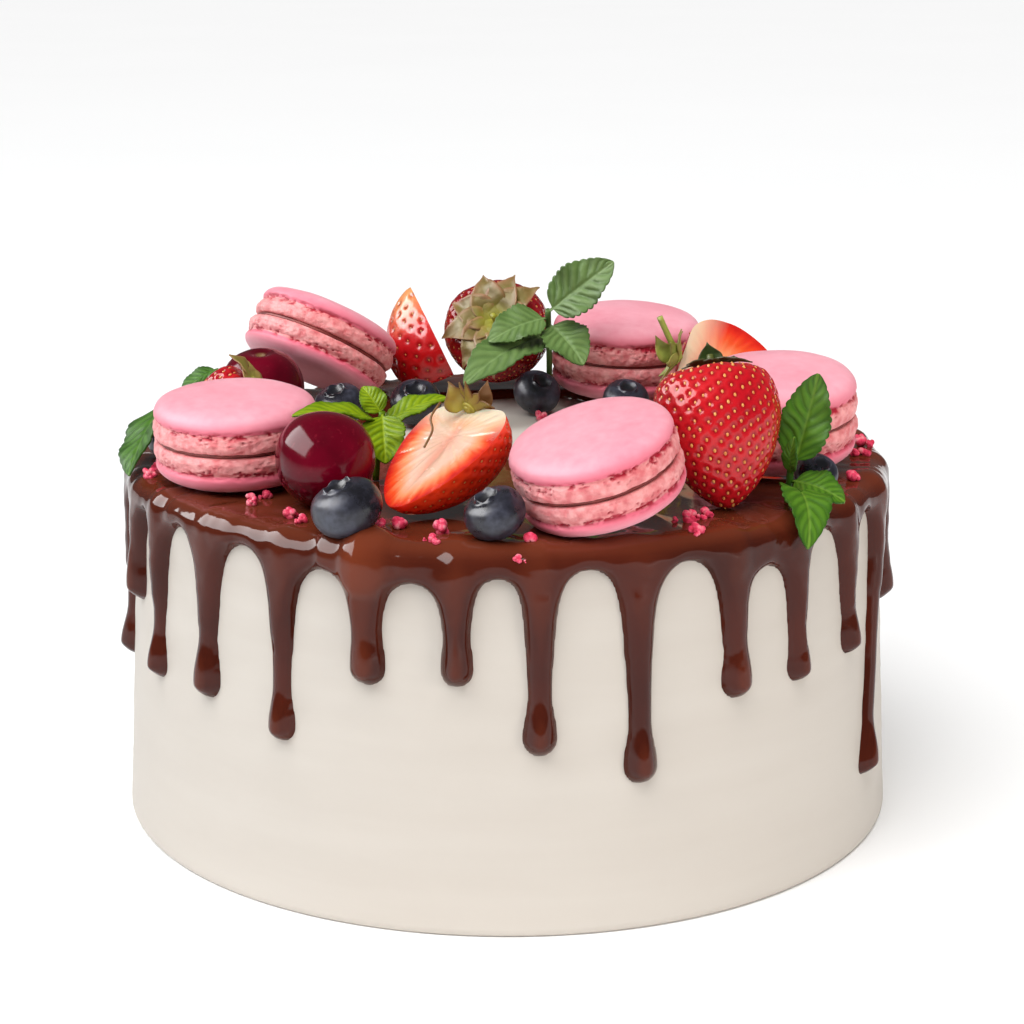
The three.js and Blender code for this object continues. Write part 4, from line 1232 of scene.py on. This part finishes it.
def calyx(reach, sepals, rise, stem, seed, curl, broad, crinkle):
    """Points, faces and masks of a calyx whose root lies at the origin and opens along +Z."""
    draw = np.random.default_rng(seed)
    parts = []
    share = np.linspace(0, 1, SEPAL_ROWS)
    for k in range(sepals):
        turn = 2 * np.pi * (k + 0.35 * (draw.random() - 0.5)) / sepals
        length = reach * (0.82 + 0.3 * draw.random())
        up = rise * (0.6 + 0.8 * draw.random())
        way = np.array([math.cos(turn), math.sin(turn), 0])
        side = np.array([-way[1], way[0], 0])
        bend = 0.7 * (draw.random() - 0.5)
        height = up * share**1.6 + curl * length * np.sin(np.pi * share) * 0.22
        wave = 0.25 * np.sin(7 * share + 5 * draw.random())
        middle = np.outer(0.6 + (length - 0.6) * share, way) + np.outer(height + wave * share, (0, 0, 1))
        middle += np.outer(0.3 * bend * length * share**2, side)
        half = reach * broad * (0.55 + 0.9 * np.sin(np.pi * share**0.8)) * (1 - share**2.4) + 0.1
        slope = np.gradient(height) / np.gradient(length * share)
        lift = np.outer(1 / np.hypot(1, slope), (0, 0, 1)) - np.outer(slope / np.hypot(1, slope), way)
        twist = 0.35 * (draw.random() - 0.5) * share
        sides = np.outer(np.cos(twist), side) + lift * np.sin(twist)[:, None]
        parts.append(strip(middle, sides, lift, half, crinkle, seed + k))
    climb = np.linspace(-0.6, stem, STALK_ROWS)
    route = np.stack([0.05 * stem * np.sin(climb / stem * 2), 0 * climb, climb], 1)
    parts.append(tube(route, np.linspace(1.15, 0.8, STALK_ROWS)))
    crown = np.array([(0, -0.5), (0.22 * reach, -0.3), (0.26 * reach, 0.15), (0.16 * reach, 0.5), (0, 0.6)])
    cap_points, cap_faces, _ = revolve(curve_through(crown, 12, on_axis=True), 20)
    parts.append((cap_points, cap_faces, 0 * cap_points[:, 0], 0 * cap_points[:, 0]))
    return merged(parts)


def upright_sepal(knots, face, half, mask):
    """One sepal that stands away from the rest, through a few places, as broad as half at its widest."""
    middle = curve_through(knots, SEPAL_ROWS)
    share = np.linspace(0, 1, SEPAL_ROWS)
    along = np.gradient(middle, axis=0)
    sides = np.cross(along, face)
    sides /= np.linalg.norm(sides, axis=1, keepdims=True)
    lift = np.cross(sides, along)
    lift /= np.linalg.norm(lift, axis=1, keepdims=True)
    width = half * (0.45 + 0.75 * np.sin(np.pi * share**0.8)) * (1 - share**2.4) + 0.1
    points, faces, reach_mask, outer = strip(middle, sides, lift, width, 0.25, 7)
    return points, faces, np.maximum(reach_mask, mask), np.maximum(outer, mask)


# %% Calyx finishes
def leaf_finish(name, root, blade, edge):
    """A dull leaf whose colour runs from its root over its blade to its edge and tip."""
    finish = Finish(name, Roughness=0.55)
    mottle = finish.noise(160.0, 4.0)
    body = finish.mix(finish.level(finish.mask("along"), 0.0, 0.35), root, blade)
    dry = finish.mask("outer") ** 3 * 0.8 + finish.mask("along") ** 3 * 0.6
    finish.set("Base Color", finish.mix(finish.level(dry + (mottle - 0.5) * 1.4, 0.15, 0.95), body, edge))
    finish.set("Roughness", finish.level(mottle, 0.3, 0.7) * 0.2 + 0.42)
    finish.bump(mottle + finish.noise(520.0, 2.0) * 0.5, 0.0003, 0.6)
    return finish


dark_calyx = leaf_finish("dark_calyx", (0.10, 0.11, 0.025), (0.045, 0.075, 0.016), (0.06, 0.055, 0.02))
golden_calyx = leaf_finish("golden_calyx", (0.36, 0.30, 0.035), (0.30, 0.22, 0.03), (0.17, 0.075, 0.022))
dried_calyx = leaf_finish("dried_calyx", (0.34, 0.33, 0.03), (0.17, 0.125, 0.028), (0.30, 0.14, 0.065))
pale_calyx = leaf_finish("pale_calyx", (0.36, 0.38, 0.07), (0.27, 0.31, 0.055), (0.26, 0.22, 0.05))
tan_calyx = leaf_finish("tan_calyx", (0.30, 0.28, 0.05), (0.24, 0.21, 0.04), (0.30, 0.17, 0.06))
print("five calyx finishes")

# %% Five calyxes
# Reach, sepals, rise, stalk, seed, curl, breadth, crinkle and finish, in the order of the strawberries
CALYXES = (
    (8.5, 8, 0.4, 3, 31, 0.3, 0.2, 0.12, dark_calyx),
    (7, 13, 2.0, 1.5, 32, 0.5, 0.13, 0.1, golden_calyx),
    (15.5, 9, 0.2, 4.5, 33, 0.9, 0.25, 0.14, dried_calyx),
    (7.5, 8, 3.4, 1, 34, 0.3, 0.22, 0.12, pale_calyx),
    (8.5, 6, 1.2, 1.5, 35, 0.5, 0.34, 0.1, tan_calyx),
)
# How far over its berry each lies, and how far it is moved aside
CALYX_LIFT = 0.3
CALYX_SHIFT = ((0, 0, 0), (-2, -1.5, -0.5), (3, 0, -1), (0, 0, 0), (0, 0, 0))
# Berry, places from root to tip, direction it faces, half width and dryness of the sepals that stand up
UPRIGHT = (
    (1, ((47.8, -50.4, 122.4), (47, -50.8, 125.2), (46.4, -51.4, 128)), (0, -1, 0.1), 2.6, 0.0),
    (2, ((-10.5, -57, 113.2), (-12, -57.2, 116.5), (-13.6, -57.5, 119.6)), (0, -1, 0.1), 3.0, 0.0),
    (2, ((-5.6, -56.5, 113), (-5.2, -57, 117), (-4.6, -57, 120.2)), (0, -1, 0.1), 1.7, 1.0),
    (4, ((44.8, 30, 108), (41.8, 29, 110.5), (39.5, 28.6, 114.5)), (0, -1, 0.1), 2.4, 0.0),
)
THREAD_ROWS = 16
# Berry, places, radius and dryness of the thin stalks that hang or stand by themselves
STALKS = (
    (2, ((-15.5, -58.4, 115.4), (-17.6, -61.8, 112.6), (-17.2, -65, 110.2), (-18.9, -69.6, 107.4)), 0.28, 1),
    (4, ((46.4, 31.5, 107.8), (43.6, 30.2, 113), (40.6, 29.6, 119.4)), 0.85, 0),
)

for number, (reach, sepals, rise, stem, seed, curl, broad, crinkle, finish) in enumerate(CALYXES, 1):
    tip, axis, face, _, length, _ = STRAWBERRIES[number - 1]
    points, faces, (along, outer) = calyx(reach, sepals, rise, stem, seed, curl, broad, crinkle)
    points = tip + (points + (0, 0, length + CALYX_LIFT)) @ facing(axis, face) + CALYX_SHIFT[number - 1]
    extra = [upright_sepal(*sepal) for berry, *sepal in UPRIGHT if berry == number]
    for berry, knots, radius, dryness in STALKS:
        if berry == number:
            extra.append(tube(curve_through(knots, THREAD_ROWS), np.full(THREAD_ROWS, radius), dryness))
    points, faces, (along, outer) = merged([(points, faces, along, outer), *extra])
    node = f"strawberry_{number}_calyx"
    piece(f"{node}_sepals", points, faces, finish, [node], {"along": along, "outer": outer})
print(len(CALYXES), "calyxes")

# %% [markdown]
# ## Mint
# A mint leaf is oval, with a toothed edge. Its veins are sunk, and the blade swells between them like a
# quilt. The leaf is a fine grid from base to tip. The teeth move the edge, the quilt moves the face,
# and the veins are also kept as a mask, because they are paler.

# %% One mint leaf
LEAF_ROWS = 110
LEAF_COLUMNS = 33
LEAF_THICKNESS = 0.5
VEINS = 8.0
TEETH = 12.0
FOLD = 0.2


def mint_leaf(base, tip, face, width, arch):
    """Points, faces and masks of one leaf that runs from base to tip and looks towards face."""
    base, along = np.array(base, float), np.subtract(tip, base)
    length = np.linalg.norm(along)
    side = np.cross(face, along)
    side /= np.linalg.norm(side)
    normal = np.cross(along / length, side)
    share = np.linspace(0, 1, LEAF_ROWS)[:, None]
    blade = np.clip(share - 0.08, 0, None) / 0.92
    outline = np.clip(np.sin(np.pi * blade**0.72), 0, 1) ** 0.62
    half = np.maximum(width / 2 * outline, 0.35)
    across = np.linspace(-1, 1, LEAF_COLUMNS)[None, :]
    edge = np.abs(across)
    # Round teeth with narrow notches, which lean a little towards the tip
    tooth = np.abs(np.sin(np.pi * (share * TEETH - 0.4 * edge + 0.3 * (across > 0)))) ** 0.7
    toothed = 1 + 0.1 * (tooth - 0.62) * edge**6 * smooth_step(outline, 0.15, 0.5)
    bow = arch * length * 4 * share * (1 - share)
    wave = 0.05 * width * np.sin(2 * np.pi * 2.4 * share) * across * outline
    middle = base + share[..., None] * along
    drift = grain((middle + (half * across)[..., None] * side).reshape(-1, 3), 5, 2)
    phase = share * VEINS - edge * 1.9 + 0.25 * (across > 0) + 0.22 * drift.reshape(LEAF_ROWS, -1)
    pillow = np.abs(np.sin(np.pi * phase))
    quilt = 0.038 * width * (pillow**0.7 - 0.6) * smooth_step(edge, 0.02, 0.25) * (1 - edge**4) * outline
    rib = 0.03 * width * (1 - smooth_step(edge, 0.0, 0.12)) * outline
    lift = bow + FOLD * half * edge**1.3 + wave + quilt - rib
    front = middle + (half * across * toothed)[..., None] * side + lift[..., None] * normal
    points, faces = thick_grid(front, front - normal * LEAF_THICKNESS)
    lateral = 1 - smooth_step(pillow, 0.0, 0.26)
    midrib = 1 - smooth_step(edge * half / width, 0.01, 0.035)
    vein = np.clip(np.maximum(lateral * 0.5, np.broadcast_to(midrib, lateral.shape)), 0, 1)
    # How far the quilt swells, which the finish turns into painted shade in the furrows
    swell = np.clip(pillow * (1 - edge**4), 0, 1)
    return points, faces, np.tile(vein.ravel(), 2), np.tile(swell.ravel(), 2)


# %% Mint finishes
def mint_finish(name, shade, blade, vein):
    """A soft leaf, paler on its veins. Painted shade makes it darker in the furrows than where it swells."""
    finish = Finish(name, Roughness=0.5, Specular_IOR_Level=0.25)
    mottle = finish.noise(220.0, 4.0)
    # Painted shade: the furrows between the swells are darker, broken up by the mottling
    body = finish.mix(finish.level(finish.mask("swell") + (mottle - 0.5) * 1.1, 0.1, 0.9), shade, blade)
    finish.set("Base Color", finish.mix(finish.mask("vein") * 0.5, body, vein))
    finish.set("Roughness", finish.level(mottle, 0.3, 0.7) * 0.2 + 0.38)
    finish.bump(mottle + finish.noise(800.0, 2.0) * 0.5, 0.00025, 0.6)
    return finish


grey_mint = mint_finish("grey_mint", (0.08, 0.145, 0.035), (0.14, 0.225, 0.066), (0.25, 0.36, 0.14))
deep_mint = mint_finish("deep_mint", (0.03, 0.095, 0.006), (0.075, 0.18, 0.012), (0.19, 0.31, 0.04))
bright_mint = mint_finish("bright_mint", (0.10, 0.18, 0.002), (0.215, 0.31, 0.003), (0.36, 0.45, 0.02))
dark_mint = mint_finish("dark_mint", (0.018, 0.065, 0.005), (0.055, 0.15, 0.012), (0.12, 0.24, 0.03))
print("four mint finishes")

# %% Three sprigs and two loose leaves
# Finish, places along the stalk, and for each leaf its base, tip, the way it faces, width and arch
SPRIGS = (
    (
        grey_mint,
        ((11, 42, 119), (11.6, 52, 104), (11.8, 59, 89.3)),
        (
            ((11, 42, 118.5), (28.4, 38, 132.9), (-0.2, -0.9, 0.4), 14, 0.02),
            ((10.8, 43.4, 116.6), (-5, 36, 111.5), (0, -0.6, 0.8), 12, 0.1),
            ((11.4, 44.6, 114.6), (20.5, 33, 105.8), (0, -0.5, 0.85), 13, 0.1),
            ((11.2, 47, 111), (-11.5, 26, 101.8), (-0.1, -0.5, 0.85), 14.5, 0.1),
        ),
    ),
    (
        deep_mint,
        ((66.2, -56, 99.5), (66, -56, 95.5), (65.8, -55, 91.2)),
        (
            ((66.9, -56, 99.4), (71.9, -55.5, 121.5), (-0.3, -0.9, 0.2), 12, -0.04),
            ((66.2, -56.8, 98), (66.2, -60.5, 107.5), (-0.6, -0.8, 0.2), 4.2, 0.1),
            ((66.4, -56.4, 96.2), (78, -63.5, 93), (0.2, -0.6, 0.8), 9.5, 0.1),
            ((65.7, -56, 94.4), (68.5, -74.5, 85), (0.3, -0.6, 0.75), 12, 0.26),
        ),
    ),
    (
        bright_mint,
        ((-30, -40, 109), (-31, -38, 102), (-32, -36, 91.3)),
        (
            ((-30, -40.4, 108.7), (-28.8, -49, 98.6), (0, -0.8, 0.6), 10.5, 0.1),
            ((-30.1, -39.8, 108.4), (-34.8, -37, 114.5), (0.3, -0.9, 0.2), 6.5, 0.1),
            ((-30.4, -39.6, 106.2), (-50.5, -50, 110.4), (0, -0.25, 0.95), 7.5, 0.1),
            ((-30.2, -39.4, 105), (-14.5, -32, 110.8), (0, -0.3, 0.95), 7.5, 0.1),
        ),
    ),
)
LOOSE_LEAVES = (
    ((-86.5, -7, 104.5), (-92.3, -34, 92), (-0.6, -0.5, 0.6), 12.5, 0.05),
    ((-78, 33, 104.6), (-88.5, 31, 97.6), (-0.3, -0.6, 0.7), 6, 0.1),
)
SPRIG_ROWS = 14
SPRIG_RADIUS = 0.85

for number, (finish, stem, leaves) in enumerate(SPRIGS, 1):
    stalk = tube(curve_through(stem, SPRIG_ROWS), np.full(SPRIG_ROWS, SPRIG_RADIUS))
    points, faces, (vein, swell) = merged([stalk, *(mint_leaf(*leaf) for leaf in leaves)])
    node = f"mint_sprig_{number}"
    piece(f"{node}_leaves", points, faces, finish, [node], {"vein": vein, "swell": swell})
for number, leaf in enumerate(LOOSE_LEAVES, 1):
    points, faces, vein, swell = mint_leaf(*leaf)
    node = f"mint_leaf_{number}"
    piece(f"{node}_blade", points, faces, dark_mint, [node], {"vein": vein, "swell": swell})
print(len(SPRIGS), "sprigs and", len(LOOSE_LEAVES), "loose leaves")

# %% [markdown]
# ## Raspberry crumbs
# Dried raspberry breaks into crumbs, each of one large lump and one or two small ones. A lump is a ball
# packed with small beads of uneven size. The crumbs lie where the list says, on the film or on the bare
# cream, and the height under each is worked out from the cake.

# %% Crumb places and finish
# Place on the top and size of each crumb
CRUMBS = (
    (-87.5, -33, 3), (-86.2, -27.4, 2.4), (-60, -59, 2.8), (-56.8, -52.5, 2.1), (-49.7, -70.6, 2.5),
    (-46.5, -75, 2.2), (-24.4, -79.5, 2.8), (-14.8, -84.5, 3.3), (-16.3, -91, 2), (5, -92, 2.5),
    (2.3, -96.5, 1.9), (41.5, -74.1, 3), (45.3, -70.5, 2.4), (42.6, -83, 2.5), (91, 1.3, 3),
    (90.5, -10.5, 2.6), (84, -35.5, 2.8), (60, 58, 2.4), (-46, 76, 2.5), (-78, 44, 2.4),
)
CREAM_CRUMB = (9.2, 40.4, 2.9)


def ganache_level(radius):
    """Height of the ganache's face at a distance from the axis."""
    reach = RIM_FILLET + GANACHE_THICKNESS
    past = min(max(radius - FLAT_RADIUS, 0), reach)
    return FILLET_BOTTOM + math.sqrt(reach * reach - past * past)


crumb_finish = Finish("dried_raspberry", Roughness=0.55)
crumb_colours = (0.32, (0.55, 0.02, 0.06)), (0.52, (0.80, 0.06, 0.14)), (0.7, (0.90, 0.33, 0.36))
crumb_finish.set("Base Color", crumb_finish.ramp(crumb_finish.noise(520.0, 4.0), *crumb_colours))
crumb_finish.bump(crumb_finish.noise(900.0, 3.0), 0.0004, 0.7)
print("ganache", round(ganache_level(0), 1), "mm over the floor")

# %% Beads of the crumbs
CRUMB_LIFT = 0.2
LUMP_BEADS = 9
BEAD_REACH = 0.52
BEAD_EXTENT = (0.95, 1.15, 0.85)
BEAD_SEGMENTS, BEAD_RINGS = 12, 8

draw = np.random.default_rng(12)
bead_points, bead_sizes = [], []
for x, y, size in (*CRUMBS, CREAM_CRUMB):
    on_cream = (x, y, size) == CREAM_CRUMB
    level = CAKE_HEIGHT if on_cream else ganache_level(math.hypot(x, y)) + CRUMB_LIFT
    for lump in range(int(2 + 2 * draw.random())):
        lump_size = size * (0.62 if lump == 0 else 0.28 + 0.2 * draw.random())
        away = draw.normal(0, 0.6, 2) * size * (lump > 0)
        heart = np.array([x + away[0], y + 0.7 * away[1], level + 0.75 * lump_size])
        for _ in range(LUMP_BEADS):
            way = draw.normal(0, 1, 3)
            bead_points.append(heart + BEAD_REACH * lump_size * way / np.linalg.norm(way))
            bead_sizes.append(lump_size * (0.42 + 0.22 * draw.random()))
bead_points = np.array(bead_points)
lifted = draw.normal(0, 1, bead_points.shape)
crumb_tree = bead_tree(crumb_finish.material, BEAD_SEGMENTS, BEAD_RINGS)
beads(
    "raspberry_crumbs", crumb_tree, bead_points, lifted, lifted[:, ::-1], bead_sizes, BEAD_EXTENT,
    ["ganache", "cream_cake"],
)
print(len(bead_points), "beads in", len(CRUMBS) + 1, "crumbs")

# %% [markdown]
# ## The finished cake
# The last cell has a small helper that lists the corners of a box.

# %% Sizes and the end
def corners(box):
    return [list(corner) for corner in box]
